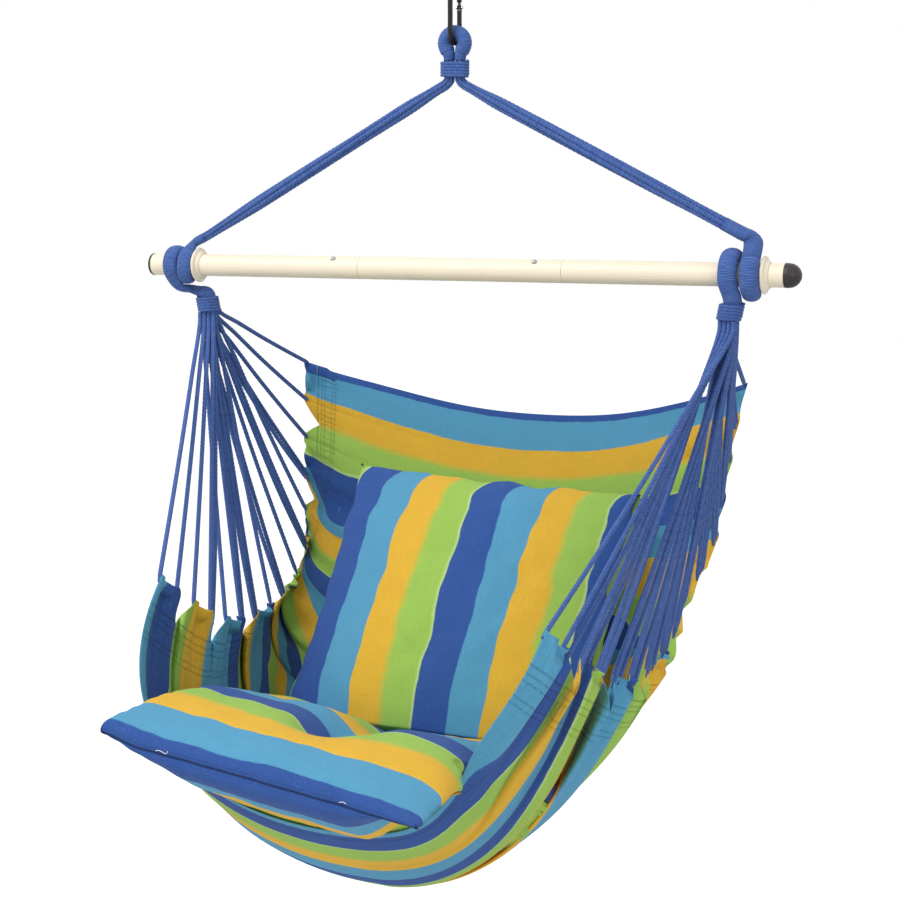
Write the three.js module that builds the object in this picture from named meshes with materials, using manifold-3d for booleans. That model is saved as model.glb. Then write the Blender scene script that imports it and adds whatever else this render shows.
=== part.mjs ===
// Hammock chair: a cotton sling with two cushions, hung on cords from a spreader bar,
// which hangs in two ropes from a loop on a snap hook.
// Millimetres. X runs along the bar, the sitter faces -Y, +Z is up.
// The origin is the seat of the snap hook's upper bow, where a ceiling hook holds the chair.

import * as THREE from "three";
import { mergeVertices } from "three/addons/utils/BufferGeometryUtils.js";
import Module from "manifold-3d";

const wasm = await Module();
wasm.setup();

// Clearances
const contactGap = 0.3;
const turningGap = 0.5;
const leftCordGap = 2.4;
const rightCordGap = 1.3;
const cushionGap = 0.2;
const clothGap = 0.6;
const facetAllowance = 1.8;
const cutOverrun = 2;

// Snap hook
const hookRod = 7;
const hookHeight = 80;
const hookWidth = 40;
const gatePinDrop = 20;
const gatePinDiameter = 2.4;
const gatePinOverhang = 1.6;
const gateDiameter = 6.6;
const gateLength = 24.5;
const gateTopLap = 2.6;
const tongueThickness = 2.4;
const noseHeight = 3.6;

// Spreader bar
const barDrop = 380;
const barHalfLength = 490;
const tubeDiameter = 32;
const tubeWall = 1.2;
const plugFit = 0.4;
const seamLeft = -144;
const seamRight = 162;
const plugLength = 58;
const swageLength = 5;
const capLength = 22;
const capRim = 5;
const capPlugLength = 14;
const capLip = 0.4;
const leftCapLength = 7;

// Collars that keep the ropes in place on the bar: inside the left rope, outside the right one
const collarDiameter = 51;
const collarThickness = 4.6;
const collarEdge = 1.6;
const collarHubWall = 1.6;
const collarHubLength = 5;
const collarDish = 3.5;
const rightCollarSetback = 51.5;
const leftCollarSetback = 80;
const rightCollarFace = barHalfLength - rightCollarSetback;
const leftCollarFace = barHalfLength - leftCollarSetback;

// Snap buttons
const buttonSetback = 40;
const buttonTilt = 52;
const buttonDiameter = 7;
const buttonHoleFit = 0.35;
const buttonProud = 3;
const buttonFoot = 7;
const springThickness = 0.8;
const springWidth = 8;
const springReach = 34;

// Ropes and cords
const loopRope = 21;
const neckRope = 16;
const upperRope = 20;
const rightStart = 18.5;
const leftStart = 14;
const rightThickness = 19;
const rightBreadth = 26;
const leftThickness = 12;
const leftBreadth = 23;
const turnGap = 1;
const tailRope = 25;
const neckBottom = 264;
const bindingCord = 3.5;
const bindingGap = 0.55;
const neckTurns = 5;
const endTurns = 5;
const rightTailDrop = 60;
const rightTailAhead = 13;
const leftTailDrop = 69.5;
const leftTailAhead = -16;
const tailLean = 0.2;
const rightTailInset = -7;
const leftTailInset = 11;
const rightEntry = 46;
const leftEntry = 29;
const ropeSlope = 0.51;
const rightHitchArc = [34, 470];
const rightHitchShift = [150, 350];
const leftHitchArc = [22, 490];
const leftHitchShift = [75, 350];
const cordDiameter = 6;
const cordSpacing = 6.4;
const cordsPerSide = 16;
const cordRows = 4;

// Sling: corners, hems and lowest line, measured from the bar's axis
const backCornerReach = 363;
const backCornerBehind = 250;
const backCornerDrop = 170;
const frontCornerReach = 275;
const frontCornerAhead = 355;
const frontCornerDrop = 405;
const edgeLowAhead = 90;
const edgeLowDrop = 518;
const backHemBehind = 300;
const backHemDrop = 235;
const frontHemAhead = 400;
const frontHemDrop = 697;
const seatLowAhead = 180;
const seatLowDrop = 828;
const clothThickness = 3;
const scallopDepth = 16;
const pleatDepth = 8;
const pleatReach = 60;
const foldDepth = 7;
const foldReach = 190;

// Cushions
const seatWidth = 450;
const seatDepth = 460;
const seatTopCrown = 74;
const seatUnderCrown = 105;
const seatUnderFrontShare = 0.3;
const seatUnderFullFrom = 0.4;
const seatFrontAhead = 545;
const seatFrontDrop = 588;
const seatShiftLeft = 35;
const seatSlope = 12;
const seatRoll = 6;
const seatTurn = 5;
const tuftDepth = 26;
const tuftRadius = 60;
const backWidth = 445;
const backHeight = 450;
const backFrontCrown = 55;
const backRearCrown = 115;
const backTopBehind = 168;
const backTopDrop = 318;
const backLean = 38;
const backRoll = 4;
const backTurn = 5;
const meetAhead = 105;
const meetDrop = 640;
const meetLean = 52;
const cushionDrawIn = 0.045;
const cushionFullness = 0.36;
const cushionCells = 16;
const hemFollowReach = 8;
const hemFollowSteps = 5;

// Facets
const tubeSides = 28;
const ropeSides = 10;
const cordSides = 8;
const windingSides = 6;
const windingSteps = 16;

const up = new THREE.Vector3(0, 0, 1);
const lerp = THREE.MathUtils.lerp;
const degrees = THREE.MathUtils.degToRad;
const smooth = (value, from, to) =>
  from === to ? 1 : THREE.MathUtils.smoothstep(value, from, to);

// Materials
const paint = (color, roughness, metalness = 0) =>
  new THREE.MeshStandardMaterial({ color, roughness, metalness });
const creamPaint = paint(0xfbefd5, 0.45, 0.1);
const creamPlastic = paint(0xf8ead0, 0.55);
const blackPlastic = paint(0x262423, 0.5);
const blackSteel = paint(0x1d1c1c, 0.35, 0.7);
const springSteel = paint(0x9a9c9e, 0.3, 0.9);
const blueRope = paint(0x2c4fa3, 0.85);
const stripedCotton = paint(0x3f86b5, 0.9);

const root = new THREE.Group();

const add = (name, geometry, material) => {
  const mesh = new THREE.Mesh(geometry, material);
  mesh.name = name;
  root.add(mesh);
  return mesh;
};

// Closed meshes as solids for cuts and joins
const closed = (geometry) => {
  const bare = geometry.clone();
  bare.deleteAttribute("normal");
  bare.deleteAttribute("uv");
  return mergeVertices(bare, 1e-3);
};

const solidOf = (geometry) => {
  const merged = closed(geometry);
  return new wasm.Manifold(
    new wasm.Mesh({
      numProp: 3,
      vertProperties: new Float32Array(merged.attributes.position.array),
      triVerts: new Uint32Array(merged.index.array),
    }),
  );
};

const geometryOf = (solid) => {
  const mesh = solid.getMesh();
  const points = new Float32Array(mesh.numVert * 3);
  for (let i = 0; i < mesh.numVert; i++) {
    const from = i * mesh.numProp;
    points.set(mesh.vertProperties.subarray(from, from + 3), i * 3);
  }
  return new THREE.BufferGeometry()
    .setAttribute("position", new THREE.BufferAttribute(points, 3))
    .setIndex(new THREE.BufferAttribute(new Uint32Array(mesh.triVerts), 1));
};

const cut = (geometry, ...tools) =>
  geometryOf(tools.reduce((left, tool) => left.subtract(solidOf(tool)), solidOf(geometry)));

const join = (geometry, ...others) =>
  geometryOf(others.reduce((left, other) => left.add(solidOf(other)), solidOf(geometry)));

const mirrored = (geometry) => {
  const copy = closed(geometry).scale(-1, 1, 1);
  const index = copy.index.array;
  for (let i = 0; i < index.length; i += 3) {
    [index[i + 1], index[i + 2]] = [index[i + 2], index[i + 1]];
  }
  return copy;
};

// A profile of (radius, place along X) pairs turned about the X axis
const turned = (profile, segments = tubeSides) =>
  new THREE.LatheGeometry(
    profile.map(([radius, along]) => new THREE.Vector2(radius, along)),
    segments,
  ).rotateZ(-Math.PI / 2);

const roundRod = (curve, diameter, steps, sides) => {
  const section = new THREE.Shape();
  for (let i = 0; i < sides; i++) {
    const angle = (i / sides) * 2 * Math.PI;
    const x = (Math.cos(angle) * diameter) / 2;
    const y = (Math.sin(angle) * diameter) / 2;
    if (i === 0) section.moveTo(x, y);
    else section.lineTo(x, y);
  }
  section.closePath();
  return new THREE.ExtrudeGeometry(section, { steps, extrudePath: curve, curveSegments: 1 });
};

// A rope whose section changes along its way. sizeAt gives its half thickness and half breadth.
// The thickness lies in the direction that facing gives for a point of the centre line.
const shapedRope = (curve, steps, sides, sizeAt, facing) => {
  const positions = [];
  const index = [];
  for (let i = 0; i <= steps; i++) {
    const share = i / steps;
    const centre = curve.getPointAt(share);
    const tangent = curve.getTangentAt(share);
    const normal = facing(centre).addScaledVector(tangent, -facing(centre).dot(tangent)).normalize();
    const binormal = new THREE.Vector3().crossVectors(tangent, normal);
    for (let j = 0; j < sides; j++) {
      const angle = (j / sides) * 2 * Math.PI;
      const [halfThickness, halfBreadth] = sizeAt(share, angle, centre);
      const point = centre
        .clone()
        .addScaledVector(normal, Math.cos(angle) * halfThickness)
        .addScaledVector(binormal, Math.sin(angle) * halfBreadth);
      positions.push(point.x, point.y, point.z);
    }
  }
  for (let i = 0; i < steps; i++) {
    for (let j = 0; j < sides; j++) {
      const a = i * sides + j;
      const b = i * sides + ((j + 1) % sides);
      index.push(a, b, b + sides, a, b + sides, a + sides);
    }
  }
  const last = steps * sides;
  for (let j = 1; j < sides - 1; j++) {
    index.push(0, j + 1, j, last, last + j, last + j + 1);
  }
  return new THREE.BufferGeometry()
    .setAttribute("position", new THREE.Float32BufferAttribute(positions, 3))
    .setIndex(index);
};

const alongY = () => new THREE.Vector3(0, 1, 0);
const awayFromAxis = (centre) => new THREE.Vector3(0, centre.y, centre.z).normalize();

// Smallest distance between turns of a winding, measured on points of its centre line
const leastGap = (name, curve, diameter, samples) => {
  const points = curve.getSpacedPoints(samples);
  const reach = curve.getLength() / samples;
  const skip = Math.ceil((diameter * Math.PI) / reach);
  let least = Infinity;
  for (let i = 0; i < points.length; i++) {
    for (let j = i + skip; j < points.length; j++) {
      least = Math.min(least, points[i].distanceTo(points[j]) - diameter);
    }
  }
  console.log(name + ": least gap between turns " + least.toFixed(2) + " mm");
};

// Snap hook
const bowRadius = (hookWidth - hookRod) / 2;
const upperBow = -(bowRadius - hookRod / 2);
const lowerBow = upperBow - (hookHeight - hookWidth);
const gateTop = -gatePinDrop + gateTopLap;
const gateBottom = gateTop - gateLength;
const noseEnd = gateBottom - contactGap;

const hookCurve = () => {
  const points = [];
  const arcSteps = 8;
  const arc = (centre, from, to) => {
    for (let i = 0; i <= arcSteps; i++) {
      const angle = lerp(from, to, i / arcSteps);
      points.push(
        new THREE.Vector3(0, bowRadius * Math.cos(angle), centre + bowRadius * Math.sin(angle)),
      );
    }
  };
  points.push(new THREE.Vector3(0, bowRadius, noseEnd));
  arc(lowerBow, 0, -Math.PI);
  points.push(new THREE.Vector3(0, -bowRadius, (lowerBow + upperBow) / 2));
  arc(upperBow, Math.PI, 0);
  return new THREE.CatmullRomCurve3(points, false, "centripetal");
};

const plate = (thickness, width, bottom, top, y) =>
  new THREE.BoxGeometry(thickness, width, top - bottom).translate(0, y, (top + bottom) / 2);

const makeHook = () => {
  const rod = roundRod(hookCurve(), hookRod, 46, 12);
  const plateWidth = gateDiameter * 0.7;
  const tongue = plate(
    tongueThickness,
    plateWidth,
    -gatePinDrop - gatePinDiameter,
    upperBow + cutOverrun,
    bowRadius,
  );
  const nose = plate(
    tongueThickness,
    plateWidth,
    noseEnd - cutOverrun,
    noseEnd + noseHeight,
    bowRadius,
  );
  const pinHole = new THREE.CylinderGeometry(
    gatePinDiameter / 2 + contactGap,
    gatePinDiameter / 2 + contactGap,
    hookRod + cutOverrun,
    12,
  )
    .rotateZ(Math.PI / 2)
    .translate(0, bowRadius, -gatePinDrop);
  add("hook_body", cut(join(rod, tongue, nose), pinHole), blackSteel);

  const pin = new THREE.CylinderGeometry(
    gatePinDiameter / 2,
    gatePinDiameter / 2,
    gateDiameter + 2 * gatePinOverhang,
    12,
  );
  const rivetHead = (side) =>
    new THREE.CylinderGeometry(gatePinDiameter * 0.85, gatePinDiameter * 0.85, gatePinOverhang - contactGap, 12)
      .translate(0, side * (gateDiameter / 2 + contactGap + (gatePinOverhang - contactGap) / 2), 0);
  const rivet = join(pin, rivetHead(1), rivetHead(-1))
    .rotateZ(Math.PI / 2)
    .translate(0, bowRadius, -gatePinDrop);
  add("gate_rivet", rivet, springSteel);
};

const makeGate = () => {
  const length = gateTop - gateBottom;
  const barrel = new THREE.CylinderGeometry(gateDiameter / 2, gateDiameter / 2, length, 16)
    .rotateX(Math.PI / 2)
    .translate(0, bowRadius, (gateTop + gateBottom) / 2);
  const slotWidth = tongueThickness + 2 * contactGap;
  const slotDepth = gateDiameter + cutOverrun;
  const topSlot = plate(
    slotWidth,
    slotDepth,
    -gatePinDrop - gateTopLap - cutOverrun,
    gateTop + cutOverrun,
    bowRadius,
  );
  const noseSlot = plate(
    slotWidth,
    slotDepth,
    gateBottom - cutOverrun,
    noseEnd + noseHeight + contactGap,
    bowRadius,
  );
  const pinHole = new THREE.CylinderGeometry(
    gatePinDiameter / 2 + contactGap,
    gatePinDiameter / 2 + contactGap,
    gateDiameter + cutOverrun,
    12,
  )
    .rotateZ(Math.PI / 2)
    .translate(0, bowRadius, -gatePinDrop);
  add("hook_gate", cut(barrel, topSlot, noseSlot, pinHole), blackSteel);
};

// Spreader bar: three tubes that plug into each other
const tubeRadius = tubeDiameter / 2;
const boreRadius = tubeRadius - tubeWall;
const plugRadius = boreRadius - plugFit;
const plugBore = plugRadius - tubeWall;
const capStart = barHalfLength - capLength;

const buttonDirection = new THREE.Vector3(
  0,
  -Math.cos(degrees(buttonTilt)),
  Math.sin(degrees(buttonTilt)),
);

// A shape made along +Z is laid along the button's own direction
const alongButton = (geometry, x) => {
  const turn = new THREE.Quaternion().setFromUnitVectors(up, buttonDirection);
  return geometry.applyQuaternion(turn).translate(x, 0, -barDrop);
};

const buttonHole = (x) =>
  alongButton(
    new THREE.CylinderGeometry(
      buttonDiameter / 2 + buttonHoleFit,
      buttonDiameter / 2 + buttonHoleFit,
      tubeRadius,
      16,
    )
      .rotateX(Math.PI / 2)
      .translate(0, 0, tubeRadius),
    x,
  );

const onBar = (geometry) => geometry.translate(0, 0, -barDrop);

const plainTube = (from, to) =>
  onBar(
    turned([
      [tubeRadius, from],
      [tubeRadius, to],
      [boreRadius, to],
      [boreRadius, from],
      [tubeRadius, from],
    ]),
  );

const pluggedTube = (from, to) =>
  onBar(
    turned([
      [plugRadius, from - plugLength],
      [plugRadius, from - contactGap],
      [tubeRadius, from + contactGap],
      [tubeRadius, to],
      [boreRadius, to],
      [boreRadius, from + swageLength],
      [plugBore, from],
      [plugBore, from - plugLength],
      [plugRadius, from - plugLength],
    ]),
  );

const makeBar = () => {
  const leftButton = seamLeft - buttonSetback;
  const rightButton = seamRight - buttonSetback;
  const leftTube = plainTube(leftCapLength - barHalfLength, seamLeft - contactGap);
  const middleTube = pluggedTube(seamLeft, seamRight - contactGap);
  const rightTube = pluggedTube(seamRight, capStart);
  add("bar_tube_left", cut(leftTube, buttonHole(leftButton)), creamPaint);
  add(
    "bar_tube_middle",
    cut(middleTube, buttonHole(leftButton), buttonHole(rightButton)),
    creamPaint,
  );
  add("bar_tube_right", cut(rightTube, buttonHole(rightButton)), creamPaint);
};

// Push-on caps: a round knob on the right end, a low button on the left
const endCap = (length, rim) => {
  const plug = boreRadius - contactGap;
  const start = barHalfLength - length + contactGap;
  const dome = (share) => {
    const angle = share * (Math.PI / 2);
    return [
      (tubeRadius + capLip) * Math.cos(angle),
      start + rim + (barHalfLength - start - rim) * Math.sin(angle),
    ];
  };
  const domeShares = [0, 0.2, 0.4, 0.6, 0.8];
  const profile = [
    [0, start - capPlugLength],
    [plug, start - capPlugLength],
    [plug, start],
    [tubeRadius + capLip, start],
    ...domeShares.map(dome),
    [0, barHalfLength],
  ];
  return onBar(turned(profile));
};

const makeCaps = () => {
  add("end_cap_right", endCap(capLength, capRim), blackPlastic);
  add("end_cap_left", mirrored(endCap(leftCapLength, leftCapLength * 0.3)), blackPlastic);
};

const makeCollars = () => {
  const rim = collarDiameter / 2;
  const bore = tubeRadius + contactGap;
  const hub = bore + collarHubWall;
  // A flat disc against the rope, with a dished back that runs into a short hub
  const collar = (face, away) => {
    const back = face + away * collarThickness;
    const points = [
      [bore, back + away * collarHubLength],
      [hub, back + away * collarHubLength],
      [hub + collarDish, back],
      [rim - collarEdge, back],
      [rim, back - away * collarEdge],
      [rim, face + away * collarEdge],
      [rim - collarEdge, face],
      [bore, face],
      [bore, back + away * collarHubLength],
    ];
    return onBar(turned(away > 0 ? points.reverse() : points));
  };
  add("collar_right", collar(rightCollarFace, 1), creamPlastic);
  add("collar_left", mirrored(collar(leftCollarFace, -1)), creamPlastic);
};

// Each button stands on the arm of a bent leaf spring inside the bar
const makeButton = (side, x) => {
  const radius = buttonDiameter / 2;
  const top = tubeRadius + buttonProud;
  const profile = [
    [0, buttonFoot],
    [radius, buttonFoot],
    [radius, top - radius * 0.6],
    [radius * 0.8, top - radius * 0.25],
    [radius * 0.4, top],
    [0, top],
  ].map(([r, z]) => new THREE.Vector2(r, z));
  const button = new THREE.LatheGeometry(profile, 16).rotateX(Math.PI / 2);
  add("snap_button_" + side, alongButton(button, x), springSteel);

  const arm = buttonFoot - contactGap;
  const low = -(plugBore - contactGap - springWidth * 0.06 - springThickness);
  const shape = new THREE.Shape();
  shape.moveTo(radius, arm);
  shape.lineTo(-radius, arm);
  shape.lineTo(-springReach, (arm + low) / 2 + springThickness);
  shape.lineTo(-springReach - springThickness, (arm + low) / 2);
  shape.lineTo(-springReach, (arm + low) / 2 - springThickness);
  shape.lineTo(-radius, low);
  shape.lineTo(radius, low);
  shape.lineTo(radius, low + springThickness);
  shape.lineTo(-radius, low + springThickness);
  shape.lineTo(-springReach + springThickness * 2, (arm + low) / 2);
  shape.lineTo(-radius, arm - springThickness);
  shape.lineTo(radius, arm - springThickness);
  shape.closePath();
  const leaf = new THREE.ExtrudeGeometry(shape, {
    depth: springWidth,
    bevelEnabled: false,
    steps: 1,
  })
    .translate(0, 0, -springWidth / 2)
    .rotateX(Math.PI / 2);
  add("button_spring_" + side, alongButton(leaf, x), springSteel);
};

// Top loop, over the lower bow of the hook
const loopRadius = hookRod / 2 + contactGap + loopRope / 2;
const loopTop = lowerBow - bowRadius;
const neckTop = neckBottom - barDrop + neckTurns * (bindingCord + bindingGap) + bindingCord;
const neckHalf = neckRope / 2 + contactGap;

const makeLoop = () => {
  const legShares = [0.15, 0.4, 0.65, 0.85];
  const legPoint = (side, share) =>
    new THREE.Vector3(
      side * lerp(neckHalf, loopRadius, smooth(share, 0.2, 1)),
      0,
      lerp(neckTop, loopTop, share),
    );
  const points = [legPoint(-1, 0)];
  legShares.forEach((share) => points.push(legPoint(-1, share)));
  const arcSteps = 10;
  for (let i = 0; i <= arcSteps; i++) {
    const angle = Math.PI * (1 - i / arcSteps);
    points.push(
      new THREE.Vector3(
        loopRadius * Math.cos(angle),
        0,
        loopTop + loopRadius * Math.sin(angle),
      ),
    );
  }
  [...legShares].reverse().forEach((share) => points.push(legPoint(1, share)));
  points.push(legPoint(1, 0));
  const curve = new THREE.CatmullRomCurve3(points, false, "centripetal");
  // The legs press flat against each other below the eye
  const size = (share, angle, centre) => {
    if (centre.z > loopTop) return [loopRope / 2, loopRope / 2];
    const radius = Math.min(loopRope / 2, Math.abs(centre.x) - contactGap);
    return [radius, radius];
  };
  add("top_loop", shapedRope(curve, 30, 12, size, alongY), blueRope);
};

// Turns of thin cord round a rope, or round two ropes that lie side by side
const winding = (name, centreX, centreY, top, turns, reach, halfSpread, lean) => {
  const pitch = bindingCord + bindingGap;
  const sideShare = 2.4;
  class Turns extends THREE.Curve {
    getPoint(t, target = new THREE.Vector3()) {
      const angle = t * turns * 2 * Math.PI;
      const side = THREE.MathUtils.clamp(sideShare * Math.cos(angle), -1, 1);
      const drop = bindingCord / 2 + t * turns * pitch;
      return target.set(
        centreX - lean * drop + halfSpread * side + reach * Math.cos(angle),
        centreY + reach * Math.sin(angle),
        top - drop,
      );
    }
  }
  const curve = new Turns();
  curve.arcLengthDivisions = turns * 40;
  leastGap(name, curve, bindingCord, turns * 60);
  const round = () => [bindingCord / 2, bindingCord / 2];
  const upward = () => up.clone();
  return shapedRope(curve, turns * windingSteps, windingSides, round, upward);
};

const makeNeck = () => {
  const reach = neckRope / 2 + bindingGap + bindingCord / 2;
  add(
    "neck_binding",
    winding("neck_binding", 0, 0, neckTop, neckTurns, reach, neckHalf, 0),
    blueRope,
  );
};

// Bar ends: each rope takes a turn and a half round the bar between its collars.
// The right one crosses to the outer side first, and its tail hangs in front of the bar.
// The left one winds outwards, and its tail crosses back below and hangs behind the bar.
const ends = {
  right: {
    start: rightStart,
    thickness: rightThickness,
    breadth: rightBreadth,
    innerTurn: rightCollarFace - contactGap - rightBreadth * 1.5 - turnGap * 3,
    outerTurn: rightCollarFace - contactGap - rightBreadth / 2,
    tailDrop: rightTailDrop,
    tailAhead: rightTailAhead,
    tailInset: rightTailInset,
  },
  left: {
    start: leftStart,
    thickness: leftThickness,
    breadth: leftBreadth,
    innerTurn: leftCollarFace + contactGap + leftBreadth / 2,
    outerTurn: leftCollarFace + contactGap + leftBreadth * 1.5 + turnGap,
    tailDrop: leftTailDrop,
    tailAhead: leftTailAhead,
    tailInset: leftTailInset,
  },
};
const bindingLength = endTurns * (bindingCord + bindingGap) + bindingCord;
const hitchRadius = (end) => tubeRadius + turningGap + end.thickness / 2;
const tailX = (end, z) => end.innerTurn - end.tailInset - tailLean * (-z - hitchRadius(end));

const aroundBar = (radius, [fromX, toX], [first, last], [leave, arrive]) => {
  const points = [];
  const arcSteps = 26;
  for (let i = 0; i <= arcSteps; i++) {
    const angle = lerp(first, last, i / arcSteps);
    points.push(
      new THREE.Vector3(
        lerp(fromX, toX, smooth(angle, leave, arrive)),
        -radius * Math.sin(degrees(angle)),
        radius * Math.cos(degrees(angle)),
      ),
    );
  }
  return points;
};

const rightHitch = (end) => {
  const { innerTurn, outerTurn, breadth } = end;
  const comingIn = (x) => new THREE.Vector3(x, 0, rightEntry + ropeSlope * (outerTurn - x));
  return [
    comingIn(innerTurn - breadth * 0.45),
    comingIn(lerp(innerTurn, outerTurn, 0.45)),
    comingIn(lerp(innerTurn, outerTurn, 0.93)),
    ...aroundBar(hitchRadius(end), [outerTurn, innerTurn], rightHitchArc, rightHitchShift),
  ];
};

const leftHitch = (end) => {
  const { innerTurn, outerTurn, breadth, thickness } = end;
  const comingIn = (x) => new THREE.Vector3(x, 0, leftEntry + ropeSlope * (innerTurn - x));
  const below = -hitchRadius(end) - thickness - 2 * turnGap;
  return [
    comingIn(innerTurn - breadth),
    comingIn(innerTurn - breadth * 0.3),
    ...aroundBar(hitchRadius(end), [innerTurn, outerTurn], leftHitchArc, leftHitchShift),
    new THREE.Vector3(lerp(outerTurn, innerTurn, 0.25), -thickness * 0.3, below + thickness * 0.3),
    new THREE.Vector3(lerp(outerTurn, innerTurn, 0.75), thickness * 0.9, below),
  ];
};

const hitchCurve = (end) => {
  const points = end.tailAhead > 0 ? rightHitch(end) : leftHitch(end);
  const tailShares = [1.05, 0.5, 0];
  for (const share of tailShares) {
    const z = bindingLength * share - end.tailDrop;
    points.push(new THREE.Vector3(tailX(end, z), -end.tailAhead, z));
  }
  return new THREE.CatmullRomCurve3(points, false, "centripetal");
};

const makeEnd = (name, finish) => {
  const end = ends[name];
  const curve = hitchCurve(end);
  leastGap("hitch_" + name, curve, end.thickness, 240);
  const size = (share) => {
    const band = smooth(share, 0, 0.1);
    const tail = smooth(share, 0.86, 0.93);
    return [
      lerp(lerp(end.start, end.thickness, band), tailRope, tail) / 2,
      lerp(lerp(end.start, end.breadth, band), tailRope, tail) / 2,
    ];
  };
  const hitch = shapedRope(curve, 60, ropeSides, size, awayFromAxis);
  add("hitch_" + name, finish(onBar(hitch)), blueRope);

  const top = bindingLength - end.tailDrop;
  const reach = tailRope / 2 + bindingGap * 1.5 + bindingCord / 2;
  const bind = winding(
    "binding_" + name,
    tailX(end, top),
    -end.tailAhead,
    top,
    endTurns,
    reach,
    0,
    tailLean,
  );
  add("binding_" + name, finish(onBar(bind)), blueRope);

  // Upper rope: several cords side by side from the hitch to the neck
  const entry = curve.getTangentAt(0);
  const from = curve.getPointAt(0).addScaledVector(entry, -contactGap);
  const neckEnd = new THREE.Vector3(neckHalf, 0, neckTop + barDrop - contactGap);
  const crotch = new THREE.Vector3(neckHalf + neckRope * 1.1, 0, neckBottom - neckRope);
  const route = new THREE.CatmullRomCurve3(
    [
      from,
      from.clone().addScaledVector(entry, -upperRope * 0.4),
      from.clone().lerp(crotch, 0.3),
      from.clone().lerp(crotch, 0.65),
      crotch,
      new THREE.Vector3(neckHalf + neckRope * 0.34, 0, neckBottom - neckRope * 0.58),
      new THREE.Vector3(neckHalf, 0, neckBottom - neckRope * 0.2),
      new THREE.Vector3(neckHalf, 0, neckBottom + neckRope * 0.6),
      neckEnd,
    ],
    false,
    "centripetal",
  );
  const strands = 6;
  const flute = 0.09;
  const upperSize = (share, angle) => {
    const slim = lerp(end.start, upperRope, smooth(share, 0, 0.25));
    const size = lerp(slim, neckRope * 0.94, smooth(share, 0.78, 0.9)) / 2;
    const lobes = flute * (1 - Math.cos(strands * angle)) * (1 - smooth(share, 0.8, 0.92));
    const radius = size * (1 - lobes * smooth(share, 0.02, 0.1));
    return [radius, radius];
  };
  const rope = shapedRope(route, 26, strands * 2, upperSize, alongY);
  add("upper_rope_" + name, finish(onBar(rope)), blueRope);
};

// The sling's side edge and centre line, from the back hem to the front hem, in the bar's frame
const edgeCurve = () => {
  const backCorner = new THREE.Vector3(backCornerReach, backCornerBehind, -backCornerDrop);
  const frontCorner = new THREE.Vector3(frontCornerReach, -frontCornerAhead, -frontCornerDrop);
  const lowReachShare = 0.72;
  const low = new THREE.Vector3(
    lerp(backCornerReach, frontCornerReach, lowReachShare),
    -edgeLowAhead,
    -edgeLowDrop,
  );
  // Shares of the way in X, Y and Z
  const backShares = [
    [0.17, 0.065, 0.23],
    [0.32, 0.112, 0.46],
    [0.48, 0.182, 0.704],
    [0.65, 0.382, 0.897],
    [0.81, 0.676, 0.983],
  ];
  const frontShares = [
    [0.4, 0.377, 0.23],
    [0.72, 0.698, 0.602],
  ];
  return runThrough(backCorner, backShares, low, frontShares, frontCorner);
};

const centreCurve = () => {
  const backHem = new THREE.Vector3(0, backHemBehind, -backHemDrop);
  const low = new THREE.Vector3(0, -seatLowAhead, -seatLowDrop);
  const frontHem = new THREE.Vector3(0, -frontHemAhead, -frontHemDrop);
  const backShares = [
    [0, 0.108, 0.185],
    [0, 0.229, 0.371],
    [0, 0.365, 0.556],
    [0, 0.531, 0.75],
    [0, 0.688, 0.894],
    [0, 0.844, 0.978],
  ];
  const frontShares = [
    [0, 0.305, 0.122],
    [0, 0.5, 0.298],
    [0, 0.673, 0.519],
    [0, 0.845, 0.74],
  ];
  return runThrough(backHem, backShares, low, frontShares, frontHem);
};

const between = (from, to, [x, y, z]) =>
  new THREE.Vector3(lerp(from.x, to.x, x), lerp(from.y, to.y, y), lerp(from.z, to.z, z));

const runThrough = (start, startShares, middle, endShares, end) =>
  new THREE.CatmullRomCurve3(
    [
      start,
      ...startShares.map((shares) => between(start, middle, shares)),
      middle,
      ...endShares.map((shares) => between(middle, end, shares)),
      end,
    ],
    false,
    "centripetal",
  );

const edgeLine = edgeCurve();
const centreLine = centreCurve();
const slingSpan = edgeLine.getPointAt(0.7).distanceTo(centreLine.getPointAt(0.7));
const attachments = cordsPerSide - 1;

// How the cross-section runs from the centre to the edge, as a cubic curve's two inner points
const openShares = [0.333, 0.667, 0.333];
const leftFullShares = [0.66, 1.2, 0.3];
const rightFullShares = [0.38, 0.8, 0.28];
const leftHemShares = [0.66, 1.32, 0.3];
const rightHemShares = [0.5, 0.7, 0.15];

const sectionShares = (side, v) => {
  const fill = smooth(v, 0.12, 0.5);
  const tight = smooth(v, 0.78, 1);
  const full = side > 0 ? rightFullShares : leftFullShares;
  const hem = side > 0 ? rightHemShares : leftHemShares;
  return openShares.map((open, i) => lerp(lerp(open, full[i], fill), hem[i], tight));
};

// The cloth between the hems and the side edges: u from -1 to 1 across, v from 0 to 1 along
const slingPoint = (u, v) => {
  const side = u < 0 ? -1 : 1;
  const wave = Math.cos(2 * Math.PI * attachments * v);
  const dip = (scallopDepth / slingSpan) * (0.5 - 0.5 * wave);
  const t = Math.abs(u) * (1 - dip);
  const [flat, wall, rise] = sectionShares(side, v);
  const a = 3 * (1 - t) * (1 - t) * t;
  const b = 3 * (1 - t) * t * t;
  const c = t * t * t;
  const across = a * flat + b * wall + c;
  const lift = b * rise + c;
  const edge = edgeLine.getPointAt(v);
  const centre = centreLine.getPointAt(v);
  return new THREE.Vector3(
    side * edge.x * across,
    lerp(centre.y, edge.y, lift),
    lerp(centre.z, edge.z, lift),
  );
};

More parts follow.
